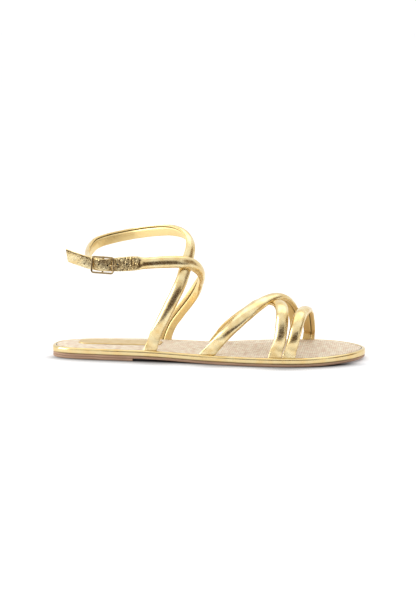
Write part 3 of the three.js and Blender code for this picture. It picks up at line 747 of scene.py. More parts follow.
# Sole
@dataclass
class Sole:
    """Heel lift, outsole, wrapped footbed, woven sock and bare heel label."""

    length: float = 250.0
    heel_tip_y: float = -3.5
    toe_tip_y: float = 5.0
    lift_thick: float = 1.9
    lift_length: float = 68.4
    outsole_thick: float = 2.9
    footbed_thick: float = 3.7
    layer_gap: float = 0.25
    waist_from: float = 72.0
    waist_to: float = 138.0
    spring_from: float = 186.0
    spring_rise: float = 2.1
    spring_power: float = 1.8
    steps_per_side: int = 260
    rungs: int = 14
    # Insets over which the footbed's inner lip and floor, in the gap under the sock's edge, take painted
    # shade
    gap_shade_from: float = 2.75
    gap_shade_to: float = 3.02
    outline: tuple[OutlineRow, ...] = (
        OutlineRow(2, -13.5, 5.5),
        OutlineRow(5, -17.5, 10),
        OutlineRow(10, -20.8, 14.2),
        OutlineRow(20, -23.8, 19.6),
        OutlineRow(36, -25.8, 23.6),
        OutlineRow(57, -27.6, 25.2),
        OutlineRow(80, -29.2, 26.4),
        OutlineRow(100, -30.6, 27.6),
        OutlineRow(122, -33, 30),
        OutlineRow(142, -36, 35.4),
        OutlineRow(160, -38.4, 41.4),
        OutlineRow(178, -39.4, 46.4),
        OutlineRow(196, -38.6, 48.8),
        OutlineRow(210, -36, 48),
        OutlineRow(222, -31.4, 43.6),
        OutlineRow(232, -25.2, 36.4),
        OutlineRow(240, -18, 28),
        OutlineRow(246.5, -8, 17.8),
        OutlineRow(249.3, -1, 11),
    )
    lift_edge: tuple[EdgeRow, ...] = (
        EdgeRow(1.0, 0), EdgeRow(0.65, 0.12), EdgeRow(0.52, 0.4), EdgeRow(0.5, 1.2), EdgeRow(0.62, 1.86),
    )
    outsole_edge: tuple[EdgeRow, ...] = (
        EdgeRow(1.0, 0), EdgeRow(0.65, 0.1), EdgeRow(0.48, 0.38), EdgeRow(0.4, 0.9), EdgeRow(0.42, 1.5),
        EdgeRow(0.55, 1.85), EdgeRow(0.95, 2.0),
    )
    footbed_edge: tuple[EdgeRow, ...] = (
        EdgeRow(1.0, -1.1), EdgeRow(0.4, -1.02), EdgeRow(0.06, -0.6), EdgeRow(0, 0.9), EdgeRow(0.08, 2.5),
        EdgeRow(0.5, 3.25), EdgeRow(1.1, 3.62), EdgeRow(1.9, 3.74), EdgeRow(2.7, 3.6), EdgeRow(3.0, 3.2),
        EdgeRow(3.05, 2.6),
    )
    sock_edge: tuple[EdgeRow, ...] = (
        EdgeRow(3.5, 2.8), EdgeRow(3.5, 3.4), EdgeRow(3.62, 3.68), EdgeRow(3.95, 3.8),
    )
    label_from: float = 20.0
    label_to: float = 87.0
    label_y: float = 4.0
    label_wide: float = 21.0
    label_squareness: float = 0.45
    label_gap: float = 0.25
    label_steps: int = 120
    label_rungs: int = 15
    label_edge: tuple[tuple[float, float], ...] = ((1.0, 0.0), (1.0, 0.3), (0.985, 0.45), (0.95, 0.5))

    def __post_init__(self) -> None:
        """Makes the outline's curve from its table."""
        lateral = [(row.x, row.lateral, 0) for row in self.outline]
        medial = [(row.x, row.medial, 0) for row in self.outline][::-1]
        heel_tip = (0, self.heel_tip_y, 0)
        toe_tip = (self.length, self.toe_tip_y, 0)
        self.path = SmoothPath([heel_tip, *lateral, toe_tip, *medial], closed=True)

    def lift_at(self, x: np.ndarray | float) -> np.ndarray | float:
        """Height of the outsole's underside above the floor.

        Args:
            x: Station.

        Returns:
            Height in millimetres.
        """
        toe = np.clip((x - self.spring_from) / (self.length - self.spring_from), 0, None)
        heel = self.lift_thick * (1 - smoothstep(x, self.waist_from, self.waist_to))
        return heel + self.spring_rise * toe**self.spring_power

    def footbed_base_at(self, x: np.ndarray | float) -> np.ndarray | float:
        """Height of the footbed's underside at a station."""
        return self.lift_at(x) + self.outsole_thick + self.layer_gap

    def footbed_top_at(self, x: np.ndarray | float) -> np.ndarray | float:
        """Height of the footbed's top at a station."""
        return self.footbed_base_at(x) + self.footbed_thick

    def edge_at(self, x: float, side: Side) -> float:
        """Edge of the footbed.

        Args:
            x: Station.
            side: Which of its two edges.

        Returns:
            The edge's y at the station.
        """
        shares = np.linspace(0 if side is Side.LATERAL else 1, 0.5, 400)
        points, _ = self.path.at(shares)
        return float(np.interp(x, points[:, 0], points[:, 1]))

    def layer(
        self, edge: Sequence[EdgeRow], base_at: Callable[[np.ndarray], np.ndarray], smooth: int = 4
    ) -> bmesh.types.BMesh:
        """Skins one layer, with a ring of points across the sole at each step from heel to toe.

        Args:
            edge: The edge's rows, from the bottom up.
            base_at: Height of its underside at a station.
            smooth: Steps between two rows of the edge.

        Returns:
            The layer's mesh. Its lay runs along the outline and up the edge, and on over the top.
        """
        rows = SmoothPath([(row.inset, row.up, 0) for row in edge])
        profile = rows.at(np.linspace(0, 1, smooth * rows.spans + 1))[0][:, :2]
        half = np.linspace(0, 0.5, self.steps_per_side + 1)
        sides = [self._side(half, profile, base_at), self._side(1 - half, profile, base_at)]
        rungs = np.linspace(0, 1, self.rungs + 1)[1:-1, None]
        top = self._across(sides[0][:, -1], sides[1][:, -1], rungs)
        under = self._across(sides[1][:, 0], sides[0][:, 0], rungs)
        ring = np.concatenate([sides[0], top, sides[1][:, ::-1], under], axis=1)
        lay = self._lay(ring)
        zones_and_shade = np.zeros_like(lay)
        # The footbed's inner lip and floor, in the gap under the sock's edge, take the seam colour as painted
        # shade
        gap_shade = smoothstep(profile[:, 0], self.gap_shade_from, self.gap_shade_to)
        count = len(profile)
        zones_and_shade[:, :count, 1] = gap_shade
        zones_and_shade[:, count : count + self.rungs - 1, 1] = gap_shade[-1]
        zones_and_shade[:, count + self.rungs - 1 : 2 * count + self.rungs - 1, 1] = gap_shade[::-1]
        return skin(ring, lay, zones_and_shade)

    def _side(
        self, shares: np.ndarray, profile: np.ndarray, base_at: Callable[[np.ndarray], np.ndarray]
    ) -> np.ndarray:
        """Works out the points of one side's edge.

        Args:
            shares: Places on the outline, from heel to toe.
            profile: How far in and how far up each point of the edge is, from the bottom up.
            base_at: Height of the layer's underside at a station.

        Returns:
            The points, step by step.
        """
        point, tangent = self.path.at(shares)
        inset, up = profile[:, 0], profile[:, 1]
        x = point[:, :1] - inset * tangent[:, 1:2]
        y = point[:, 1:2] + inset * tangent[:, :1]
        return np.stack([x, y, base_at(x) + up], axis=-1)

    def _across(self, start: np.ndarray, stop: np.ndarray, rungs: np.ndarray) -> np.ndarray:
        """Points between two edges."""
        return start[:, None] * (1 - rungs) + stop[:, None] * rungs

    def _lay(self, ring: np.ndarray) -> np.ndarray:
        """Lay of a layer: place along the sole and round each ring.

        Args:
            ring: Its points, ring by ring.

        Returns:
            The lay of each point.
        """
        steps = np.linalg.norm(np.diff(ring, axis=1), axis=-1)
        around = np.concatenate([np.zeros((len(ring), 1)), np.cumsum(steps, axis=1)], axis=1)
        along = np.concatenate([[0], np.cumsum(np.linalg.norm(np.diff(ring[:, 0], axis=0), axis=-1))])
        along = np.broadcast_to(along[:, None], around.shape)
        return np.stack([along, around, np.zeros_like(around)], axis=-1)

    def _flat_lay(self, mesh: bmesh.types.BMesh) -> bmesh.types.BMesh:
        """Lays the pattern of a mesh straight down from above, in millimetres.

        Args:
            mesh: The mesh, whose lay is changed.

        Returns:
            The same mesh.
        """
        layer = mesh.verts.layers.float_vector[LAY]
        for vert in mesh.verts:
            vert[layer] = (vert.co.x / MM, vert.co.y / MM, 0.0)
        return mesh

    def build(self, foil: FoilLeather, label: FoilLeather, jute: WovenJute, leather: SoleLeather) -> None:
        """Builds the five pieces.

        Args:
            foil: Finish of the wrapped footbed.
            label: Finish of the heel label.
            jute: Finish of the sock.
            leather: Finish of the outsole and the heel lift.
        """
        tan = leather.material()
        finished(self.heel_lift(), "heel_lift_leather", tan, ["heel_lift"])
        outsole = self.layer(self.outsole_edge, self.lift_at)
        finished(outsole, "outsole_leather", tan, ["outsole"])
        footbed = self.layer(self.footbed_edge, self.footbed_base_at)
        finished(footbed, "footbed_wrap", foil.material(), ["footbed"])
        sock = self._flat_lay(self.layer(self.sock_edge, self.footbed_base_at, smooth=3))
        finished(sock, "woven_sock", jute.material(), ["insole_sock"])
        finished(self.label(), "heel_patch", label.material(), ["heel_label"])

    def heel_lift(self) -> bmesh.types.BMesh:
        """Heel lift: the sole's outline, cut off upright at its front.

        Returns:
            Its mesh.
        """
        mesh = self.layer(self.lift_edge, lambda x: 0 * x)
        front = Vector(to_frame(np.array([self.lift_length, 0, 0])))
        geometry = [*mesh.verts, *mesh.edges, *mesh.faces]
        cut = bmesh.ops.bisect_plane(
            mesh, geom=geometry, dist=WELD, plane_co=front, plane_no=(1, 0, 0), clear_outer=True
        )
        rim = [item for item in cut["geom_cut"] if isinstance(item, bmesh.types.BMEdge)]
        bmesh.ops.holes_fill(mesh, edges=rim, sides=0)
        bmesh.ops.recalc_face_normals(mesh, faces=mesh.faces)
        return mesh

    def label(self) -> bmesh.types.BMesh:
        """Heel label: a thin oblong with blunt ends and rounded edges.

        Returns:
            Its mesh.
        """
        half = (self.label_to - self.label_from) / 2
        angle = np.linspace(0, math.pi, self.label_steps + 1)
        blunt = np.abs(np.cos(angle)) ** self.label_squareness * np.sign(np.cos(angle))
        x = (self.label_from + half) - half * blunt
        reach = self.label_wide / 2 * np.sin(angle) ** self.label_squareness
        base = self.footbed_top_at(x) + self.label_gap
        lateral, medial = (
            [
                np.stack([x, self.label_y + side.value * reach * share, base + up], axis=-1)
                for share, up in self.label_edge
            ]
            for side in Side
        )
        rungs = np.linspace(0, 1, self.label_rungs + 1)[1:-1]
        top = [lateral[-1] * (1 - share) + medial[-1] * share for share in rungs]
        under = [medial[0] * (1 - share) + lateral[0] * share for share in rungs]
        rings = np.stack([*lateral, *top, *medial[::-1], *under], axis=1)
        return self._flat_lay(skin(rings, self._lay(rings)))


# Buckle
@dataclass
class Buckle:
    """Buckle frame with its cranked bar and its prong, in axes u along the strap, v up, n outward."""

    centre: tuple[float, float, float] = (47.2, -36.5, 77.5)
    direction: tuple[float, float, float] = (1, 0.06, -0.065)
    long: float = 18.4
    tall: float = 14.0
    wire: float = 0.8
    corner: float = 1.8
    stand_off: float = 2.85
    bar_wire: float = 0.75
    prong_wire: float = 0.5
    prong_eye: float = 1.35
    eye_from_deg: int = 130
    eye_to_deg: int = 310
    eye_step_deg: int = 30
    prong_tongue: tuple[tuple[float, float], ...] = (
        (3.2, 0.6), (5.4, 2.5), (7.1, 3.9), (8.7, 4.3), (10.1, 4.15),
    )
    sides: int = 14
    corner_steps: int = 8
    bar_points: int = 50
    prong_points: int = 70

    def __post_init__(self) -> None:
        """Works out the three axes."""
        self.along = unit(np.array(self.direction, float))
        up = np.array([0, 0, 1.0])
        self.up = unit(up - up @ self.along * self.along)
        self.out = np.cross(self.along, self.up)

    def at(self, u: float, v: float, n: float) -> np.ndarray:
        """Point in station millimetres.

        Args:
            u: Along the strap, to the toe.
            v: Up.
            n: Away from the ankle.

        Returns:
            The point.
        """
        return np.array(self.centre) + u * self.along + v * self.up + n * self.out

    def wire_mesh(
        self, path: np.ndarray, normal: np.ndarray, radius: float, closed: bool
    ) -> bmesh.types.BMesh:
        """Round wire along a path in a plane.

        Args:
            path: Its points.
            normal: The plane's normal.
            radius: The wire's radius.
            closed: Whether it is a ring.

        Returns:
            The wire's mesh.
        """
        if closed:
            tangent = unit(np.roll(path, -1, axis=0) - np.roll(path, 1, axis=0))
        else:
            tangent = unit(np.gradient(path, axis=0))
        across = np.cross(normal, tangent)
        angle = 2 * math.pi * np.arange(self.sides) / self.sides
        rings = (
            path[:, None]
            + radius * np.cos(angle)[None, :, None] * across[:, None]
            + radius * np.sin(angle)[None, :, None] * normal
        )
        return skin(rings, np.zeros((*rings.shape[:2], 3)), closed=closed)

    def frame_path(self) -> np.ndarray:
        """Runs the middle of the frame's wire round its four corners.

        Returns:
            Its points.
        """
        u = self.long / 2 - self.wire - self.corner
        v = self.tall / 2 - self.wire - self.corner
        points = []
        for number, (cu, cv) in enumerate(((u, v), (-u, v), (-u, -v), (u, -v))):
            for step in range(self.corner_steps + 1):
                angle = math.radians(90 * number + 90 * step / self.corner_steps)
                across, up = cu + self.corner * math.cos(angle), cv + self.corner * math.sin(angle)
                points.append(self.at(across, up, self.stand_off))
        return np.array(points)

    def bar_path(self) -> np.ndarray:
        """Runs the middle of the bar's wire, cranked down at both ends.

        Returns:
            Its points.
        """
        rail = self.tall / 2 - self.wire
        half = [(rail, self.stand_off), (rail, 0.9), (rail - 0.3, 0.25), (rail - 1.1, 0.0)]
        rows = half + [(-v, n) for v, n in reversed(half)]
        path = SmoothPath([self.at(0, v, n) for v, n in rows])
        return path.at(np.linspace(0, 1, self.bar_points))[0]

    def prong_path(self) -> np.ndarray:
        """Runs the middle of the prong's wire: the eye round the bar, then the tongue.

        Returns:
            Its points.
        """
        turn = [math.radians(a) for a in range(self.eye_from_deg, self.eye_to_deg + 1, self.eye_step_deg)]
        eye = [(self.prong_eye * math.cos(angle), self.prong_eye * math.sin(angle)) for angle in turn]
        path = SmoothPath([self.at(u, 0, n) for u, n in (*eye, *self.prong_tongue)])
        return path.at(np.linspace(0, 1, self.prong_points))[0]

    def build(self, metal: PlatedMetal) -> None:
        """Builds the frame and the prong.

        Args:
            metal: Their finish.
        """
        material = metal.material()
        ring = self.wire_mesh(self.frame_path(), self.out, self.wire, True)
        finished(ring, "buckle_ring", material, ["buckle_frame"])
        bar = self.wire_mesh(self.bar_path(), self.along, self.bar_wire, False)
        finished(bar, "buckle_bar", material)
        prong = self.wire_mesh(self.prong_path(), self.up, self.prong_wire, False)
        finished(prong, "buckle_tongue", material, ["buckle_prong"])


# Straps
class RimRow(NamedTuple):
    """Point of a strap's side wall, from the dome down to the lining.

    It is in from the strap's edge by a share of the piping and by millimetres, and up by a share of the
    wall. Its last column is how much of the lining it has.
    """

    piping: float
    inset: float
    up: float
    lining: float


class RouteRow(NamedTuple):
    """A strap's middle, its direction away from the foot, its width and its thickness."""

    point: np.ndarray
    outward: np.ndarray
    wide: float
    thick: float


class Run(NamedTuple):
    """A strap read at fine steps: its middle, three directions, width, thickness and length so far."""

    point: np.ndarray
    tangent: np.ndarray
    outward: np.ndarray
    across: np.ndarray
    wide: np.ndarray
    thick: np.ndarray
    length: np.ndarray


@dataclass
class Strap:
    """One padded strap of foil leather: a rounded roll with flat ends and a seam down its lining."""

    name: str
    node: str
    start: TabEnd
    over_foot: tuple[FootRow, ...]
    through_buckle: tuple[BuckleRow, ...] = ()
    end: TabEnd | None = None
    seam_share: float = -0.14
    seed: int = 1
    crinkled: tuple[float, float] | None = None
    holes: tuple[tuple[float, float, float], ...] = ()
    hole_radius: float = 0.85
    hole_bottom_radius: float = 0.05
    hole_depth: float = 1.9
    hole_sides: int = 24
    tip: tuple[float, float, float] | None = None
    tip_reach: float = 30.0
    step: float = 0.6
    soften: float = 2.2
    thick_soften: float = 0.6
    bend_soften: float = 2.5
    tab_wide: float = 9.2
    tab_flare: float = 1.0
    tab_thick: float = 1.6
    tab_inset: float = 3.6
    tab_depth: float = 2.5
    tab_rise: float = 5.5
    flat_thick: float = 1.6
    padded_thick: float = 4.4
    roundness: float = 0.3
    roundness_gain: float = 0.45
    wall: float = 0.3
    wall_loss: float = 0.08
    dome_points: int = 25
    piping: float = 0.45
    rim: tuple[RimRow, ...] = (
        RimRow(0, 0, 1, 0),
        RimRow(0.6, 0, 0.88, 0),
        RimRow(1, 0, 0.76, 0.2),
        RimRow(0.75, 0, 0.64, 0.7),
        RimRow(0.25, 0, 0.52, 1),
        RimRow(0.1, 0, 0.3, 1),
        RimRow(0, 0.16, 0.12, 1),
    )
    lining_corner: float = 0.46
    lining_half: float = 0.37
    lining_points: int = 8
    belly: float = 0.3
    belly_half: float = 0.42
    seam_depth: float = 0.8
    seam_wide: float = 0.4
    seam_stain: float = 0.35
    beside_seam: tuple[float, ...] = (-0.045, -0.02, 0.0, 0.02, 0.045)
    swell: float = 0.012
    swell_pitch: float = 14.0
    crease_pitch: float = 1.9
    crease_height: float = 1.1
    crease_from: float = 0.03
    crease_most: float = 0.25
    crinkle_pitch: float = 2.3
    crinkle_height: float = 0.12
    crinkle_least: float = 0.45
    lay_shift: float = 40.0

    def rows(self, sole: Sole, buckle: Buckle) -> list[RouteRow]:
        """Puts all rows of the strap in order.

        Args:
            sole: The sole that it stands in.
            buckle: The buckle that it may go through.

        Returns:
            The rows, from its start to its end.
        """
        made = self._tab_rows(self.start, sole)
        for row in self.over_foot:
            point = np.array([row.x, row.y, row.z], float)
            outward = unit(point - np.array([row.core_x, 0, row.core_z]))
            made.append(RouteRow(point, outward, row.wide, row.thick))
        for row in self.through_buckle:
            lean = math.radians(row.lean_deg)
            outward = math.cos(lean) * buckle.out - math.sin(lean) * buckle.up
            made.append(RouteRow(buckle.at(row.u, row.v, row.n), outward, row.wide, row.thick))
        if self.end:
            made += self._tab_rows(self.end, sole)[::-1]
        return made

    def _tab_rows(self, tab: TabEnd, sole: Sole) -> list[RouteRow]:
        """Makes the rows of a flat end.

        Args:
            tab: The flat end.
            sole: The sole that it stands in.

        Returns:
            The rows, from inside the footbed up.
        """
        top = sole.footbed_top_at(tab.station)
        made = []
        flared = self.tab_wide + self.tab_flare
        for z, wide in ((top - self.tab_depth, flared), (top, flared), (top + self.tab_rise, self.tab_wide)):
            x = tab.station + tab.lean * (z - top)
            y = sole.edge_at(x, tab.side) - tab.side.value * self.tab_inset
            outward = np.array([0, tab.side.value, 0.0])
            made.append(RouteRow(np.array([x, y, float(z)]), outward, wide, self.tab_thick))
        return made

    def sample(self, rows: Sequence[RouteRow]) -> Run:
        """Reads the strap's run at fine steps.

        Args:
            rows: Its rows.

        Returns:
            The strap at each step.
        """
        path = SmoothPath([row.point for row in rows])
        shares = []
        for span in range(path.spans):
            gap = np.linalg.norm(rows[span + 1].point - rows[span].point)
            steps = max(3, round(gap / self.step))
            shares += [(span + step / steps) / path.spans for step in range(steps)]
        shares = np.array([*shares, 1.0])
        point, tangent = path.at(shares)
        knots = np.linspace(0, 1, len(rows))
        reach = self.soften / self.step
        outward = np.stack([np.interp(shares, knots, [row.outward[i] for row in rows]) for i in range(3)], 1)
        outward = softened(outward, reach)
        outward = unit(outward - (outward * tangent).sum(1, keepdims=True) * tangent)
        wide = softened(np.interp(shares, knots, [row.wide for row in rows]), reach)
        thick = softened(np.interp(shares, knots, [row.thick for row in rows]), reach * self.thick_soften)
        length = np.concatenate([[0], np.cumsum(np.linalg.norm(np.diff(point, axis=0), axis=1))])
        return Run(point, tangent, outward, np.cross(outward, tangent), wide, thick, length)

    def section(self, wide: np.ndarray, thick: np.ndarray) -> tuple[np.ndarray, np.ndarray, np.ndarray]:
        """Section of the strap at each step, starting at the lining's seam.

        Args:
            wide: Widths.
            thick: Thicknesses.

        Returns:
            Places across and outward of each section's points, and how much of the lining each is.
        """
        full = smoothstep(thick, self.flat_thick, self.padded_thick)
        roundness = self.roundness + self.roundness_gain * full
        wall = (self.wall - self.wall_loss * full) * thick
        angle = np.linspace(0, math.pi, self.dome_points + 2)[1:-1]
        dome_across = wide[:, None] / 2 * np.cos(angle)
        rise = np.sin(angle) ** roundness[:, None]
        dome_out = (wall[:, None] + (thick - wall)[:, None] * rise) - thick[:, None] / 2
        piping, inset, up, lining_rim = np.array(self.rim).T
        rim_in = (self.piping * full)[:, None] * piping + inset
        rim_across = wide[:, None] / 2 - rim_in
        corner_across = np.concatenate([rim_across, wide[:, None] * self.lining_corner], axis=1)
        corner_out = wall[:, None] * np.append(up, 0) - thick[:, None] / 2
        beside = self.seam_share + np.array(self.beside_seam)
        plain = np.linspace(-self.lining_half, self.lining_half, self.lining_points)
        shares = np.sort(np.concatenate([plain, beside]))
        near = (shares - self.seam_share) * wide[:, None]
        groove = self.seam_depth * np.exp(-((near / self.seam_wide) ** 2)) * np.minimum(1, thick[:, None] / 3)
        belly = self.belly * full[:, None] * (1 - (shares / self.belly_half) ** 2)
        lining_out = np.broadcast_to(-thick[:, None] / 2, groove.shape) + groove - belly
        lining_across = shares * wide[:, None]
        across = np.concatenate([dome_across, -corner_across, lining_across, corner_across[:, ::-1]], axis=1)
        out = np.concatenate([dome_out, corner_out, lining_out, corner_out[:, ::-1]], axis=1)
        rim = np.append(lining_rim, 1)
        lining = np.concatenate([np.zeros(len(angle)), rim, np.ones(len(shares)), rim[::-1]])
        first = len(angle) + len(rim) + int(np.argmin(np.abs(shares - self.seam_share)))
        return np.roll(across, -first, 1), np.roll(out, -first, 1), np.roll(lining, -first)

    def mesh(self, sole: Sole, buckle: Buckle) -> bmesh.types.BMesh:
        """Skins the strap, with creases where it is pressed together.

        Args:
            sole: The sole that it stands in.
            buckle: The buckle that it may go through.

        Returns:
            Its mesh.
        """
        run = self.sample(self.rows(sole, buckle))
        along = run.length
        swell = 1 + self.swell * ripple(along, self.swell_pitch, self.seed) * smoothstep(run.thick, 2, 4)
        across, out, lining = self.section(run.wide * swell, run.thick * swell)
        bend = np.gradient(run.tangent, axis=0) / np.gradient(along)[:, None]
        bend = softened(bend, self.bend_soften / self.step)
        flatwise = (bend * run.outward).sum(1)[:, None]
        edgewise = (bend * run.across).sum(1)[:, None]
        pressed = np.clip(flatwise * out + edgewise * across - self.crease_from, 0, self.crease_most)
        waves = ripple(along, self.crease_pitch, self.seed + 10)[:, None]
        out = out + np.sign(out) * waves * pressed * self.crease_height
        crinkle = self._crinkle(run)[:, None]
        folds = ripple(along, self.crinkle_pitch, self.seed + 20)[:, None]
        out = out + crinkle * self.crinkle_height * (1 - lining) * folds
        rings = (
            run.point[:, None]
            + across[..., None] * run.across[:, None]
            + out[..., None] * run.outward[:, None]
        )
        gaps = np.hypot(np.diff(across, axis=1), np.diff(out, axis=1)).mean(0)
        around = np.concatenate([[0], np.cumsum(gaps)])
        shifted = around[None] + self.lay_shift * self.seed
        lay = np.stack(np.broadcast_arrays(along[:, None], shifted, 0.0), -1)
        from_seam = np.minimum(around, around[-1] - around)
        seam = np.exp(-((from_seam / self.seam_stain) ** 2))[None]
        zones_and_shade = np.stack(np.broadcast_arrays(lining[None], seam, crinkle), -1)
        return skin(rings, lay, zones_and_shade)

    def _crinkle(self, run: Run) -> np.ndarray:
        """Says where the leather is crinkled, which is past the strap's foremost point.

        Args:
            run: The strap's run.

        Returns:
            How crinkled the strap is at each step, from 0 to 1.
        """
        if not self.crinkled:
            return np.zeros_like(run.length)
        low, high = self.crinkled
        x = run.point[:, 0]
        tail = run.length > run.length[np.argmax(x)]
        flat = self.crinkle_least + (1 - self.crinkle_least) * smoothstep(x, low - 2, low + 2)
        return flat * (1 - smoothstep(x, high - 1.0, high + 1.0)) * tail

    def build(self, sole: Sole, buckle: Buckle, material: bpy.types.Material) -> bpy.types.Object:
        """Builds the strap with its slanting tip and its holes.

        Args:
            sole: The sole that it stands in.
            buckle: The buckle that it may go through.
            material: Its finish.

        Returns:
            The strap's object.
        """
        mesh = self.mesh(sole, buckle)
        if self.tip:
            self._cut_tip(mesh, buckle)
        piece = finished(mesh, self.name, material, [self.node])
        if self.holes:
            self._punch(piece, buckle)
        return piece

    def _cut_tip(self, mesh: bmesh.types.BMesh, buckle: Buckle) -> None:
        """Cuts the free end off at a slant.

        Args:
            mesh: The strap's mesh, which is changed.
            buckle: The buckle that it goes through.
        """
        u, v, slope = self.tip
        turn = math.radians(slope)
        normal = -(math.cos(turn) * buckle.along + math.sin(turn) * buckle.up)
        point = Vector(to_frame(buckle.at(u, v, 0)))
        near = [vert for vert in mesh.verts if (vert.co - point).length < self.tip_reach * MM]
        edges = dict.fromkeys(edge for vert in near for edge in vert.link_edges)
        faces = dict.fromkeys(face for vert in near for face in vert.link_faces)
        geometry = [*near, *edges, *faces]
        cut = bmesh.ops.bisect_plane(
            mesh, geom=geometry, dist=WELD, plane_co=point, plane_no=Vector(normal), clear_outer=True
        )
        rim = [item for item in cut["geom_cut"] if isinstance(item, bmesh.types.BMEdge)]
        bmesh.ops.holes_fill(mesh, edges=rim, sides=0)

    def _punch(self, piece: bpy.types.Object, buckle: Buckle) -> None:
        """Punches the holes, which taper inwards so that their walls, dark with painted shade, face out.

        Args:
            piece: The strap's object, whose mesh is replaced.
            buckle: The buckle that it goes through.
        """
        cutter_mesh = bmesh.new()
        place = Matrix((buckle.along, buckle.up, buckle.out)).transposed().to_4x4()
        for u, v, n in self.holes:
            place.translation = Vector(to_frame(buckle.at(u, v, n)))
            bmesh.ops.create_cone(
                cutter_mesh,
                cap_ends=True,
                segments=self.hole_sides,
                radius1=self.hole_bottom_radius * MM,
                radius2=self.hole_radius * MM,
                depth=self.hole_depth * MM,
                matrix=place,
            )
        data = bpy.data.meshes.new("punch")
        cutter_mesh.to_mesh(data)
        cutter_mesh.free()
        data.materials.append(RAW_LEATHER_AND_HOLE_SHADE.material())
        cutter = bpy.data.objects.new("punch", data)
        bpy.context.scene.collection.objects.link(cutter)
        modifier = piece.modifiers.new("holes", "BOOLEAN")
        modifier.operation = "DIFFERENCE"
        modifier.solver = "EXACT"
        modifier.material_mode = "TRANSFER"
        modifier.object = cutter
        bpy.context.view_layer.update()
        graph = bpy.context.evaluated_depsgraph_get()
        pierced = bpy.data.meshes.new_from_object(piece.evaluated_get(graph))
        piece.modifiers.clear()
        piece.data = pierced
        bpy.data.objects.remove(cutter)


@dataclass
class WrapFold:
    """End of the wrap strap, folded round the buckle's bar and laid back on itself."""

    radius: float = 1.55
    wide: float = 9.0
    thick: float = 1.0
    lead: tuple[float, float] = (-3.4, -1.9)
    tail: tuple[tuple[float, float], ...] = ((-2.4, 1.25), (-4.6, 0.1), (-7.0, -1.4))
    steps: int = 90
    sides: int = 28
    edge_squareness: float = 0.2
    face_squareness: float = 0.6
    crinkle: float = 0.5

    def mesh(self, buckle: Buckle) -> bmesh.types.BMesh:
        """Skins the fold.

        Args:
            buckle: The buckle that holds it.

        Returns:
            Its mesh.
        """
        turn = [math.radians(degrees) for degrees in (-90, -45, 0, 45, 90)]
        round_bar = [(self.radius * math.cos(angle), self.radius * math.sin(angle)) for angle in turn]
        path = SmoothPath([buckle.at(u, 0, n) for u, n in (self.lead, *round_bar, *self.tail)])
        point, tangent = path.at(np.linspace(0, 1, self.steps))
        outward = unit(np.cross(buckle.up, tangent))
        angle = 2 * math.pi * np.arange(self.sides) / self.sides
        cos, sin = np.cos(angle), np.sin(angle)
        across = self.wide / 2 * np.sign(cos) * np.abs(cos) ** self.edge_squareness
        out = self.thick / 2 * np.sign(sin) * np.abs(sin) ** self.face_squareness
        rings = point[:, None] + across[:, None] * buckle.up + out[:, None] * outward[:, None]
        along = np.concatenate([[0], np.cumsum(np.linalg.norm(np.diff(point, axis=0), axis=1))])
        lay = np.stack(np.broadcast_arrays(along[:, None], across[None], 0.0), -1)
        zones_and_shade = np.broadcast_to(np.array([0.0, 0.0, self.crinkle]), lay.shape)
        return skin(rings, lay, zones_and_shade)

    def build(self, buckle: Buckle, material: bpy.types.Material) -> None:
        """Builds the fold.

        Args:
            buckle: The buckle that holds it.
            material: Its finish.
        """
        finished(self.mesh(buckle), "wrap_fold", material, ["ankle_straps"])


WRAP_STRAP = Strap(
    name="wrap_strap",
    node="ankle_straps",
    seed=1,
    start=TabEnd(Side.LATERAL, 82.4, 0.34),
    over_foot=(
        FootRow(87.3, -27.8, 22.5, 87, 22, 9.4, 3.2),
        FootRow(92.2, -29, 32, 91, 29, 9.6, 4.6),
        FootRow(98, -29, 44, 96, 38, 9.6, 4.8),
        FootRow(104.3, -27, 57, 98, 47, 9.6, 4.8),
        FootRow(108, -23.8, 66, 98, 57, 9.6, 4.4),
        FootRow(110.2, -18.6, 75, 97, 67, 9.6, 3.8),
        FootRow(112.2, -13.6, 82.5, 94, 75, 9.6, 4.4),
        FootRow(112.9, -8.6, 88.6, 88, 79, 9.4, 4.8),
        FootRow(111.2, -3, 94, 83, 83, 9.3, 4.8),
        FootRow(105.6, 4, 98.2, 78, 86.5, 9.2, 4.8),
        FootRow(96.4, 11.6, 99.8, 74, 90, 9.2, 4.7),
        FootRow(82, 20.6, 98.4, 70, 93.5, 9.2, 4.6),
        FootRow(61, 28.4, 94.6, 66, 93, 9, 4.6),
        FootRow(41.4, 27.4, 90.4, 62, 90.4, 9.2, 4.6),
        FootRow(31.8, 20.4, 87.6, 62, 87.6, 9.3, 4.6),
        FootRow(28.8, 8, 84.6, 62, 84.6, 9.4, 4.6),
        FootRow(29.2, -6, 81.8, 62, 81.8, 9.4, 4.4),
        FootRow(32, -18, 79.8, 62, 79.8, 9.3, 3.4),
        FootRow(35.6, -27.6, 78.6, 62, 78.6, 9.2, 2.0),
    ),
    through_buckle=(BuckleRow(-4.4, 0.2, -2.2, 9.0, 1.1), BuckleRow(0, 0, -1.55, 9.0, 1.0)),
    seam_share=0.33,
)

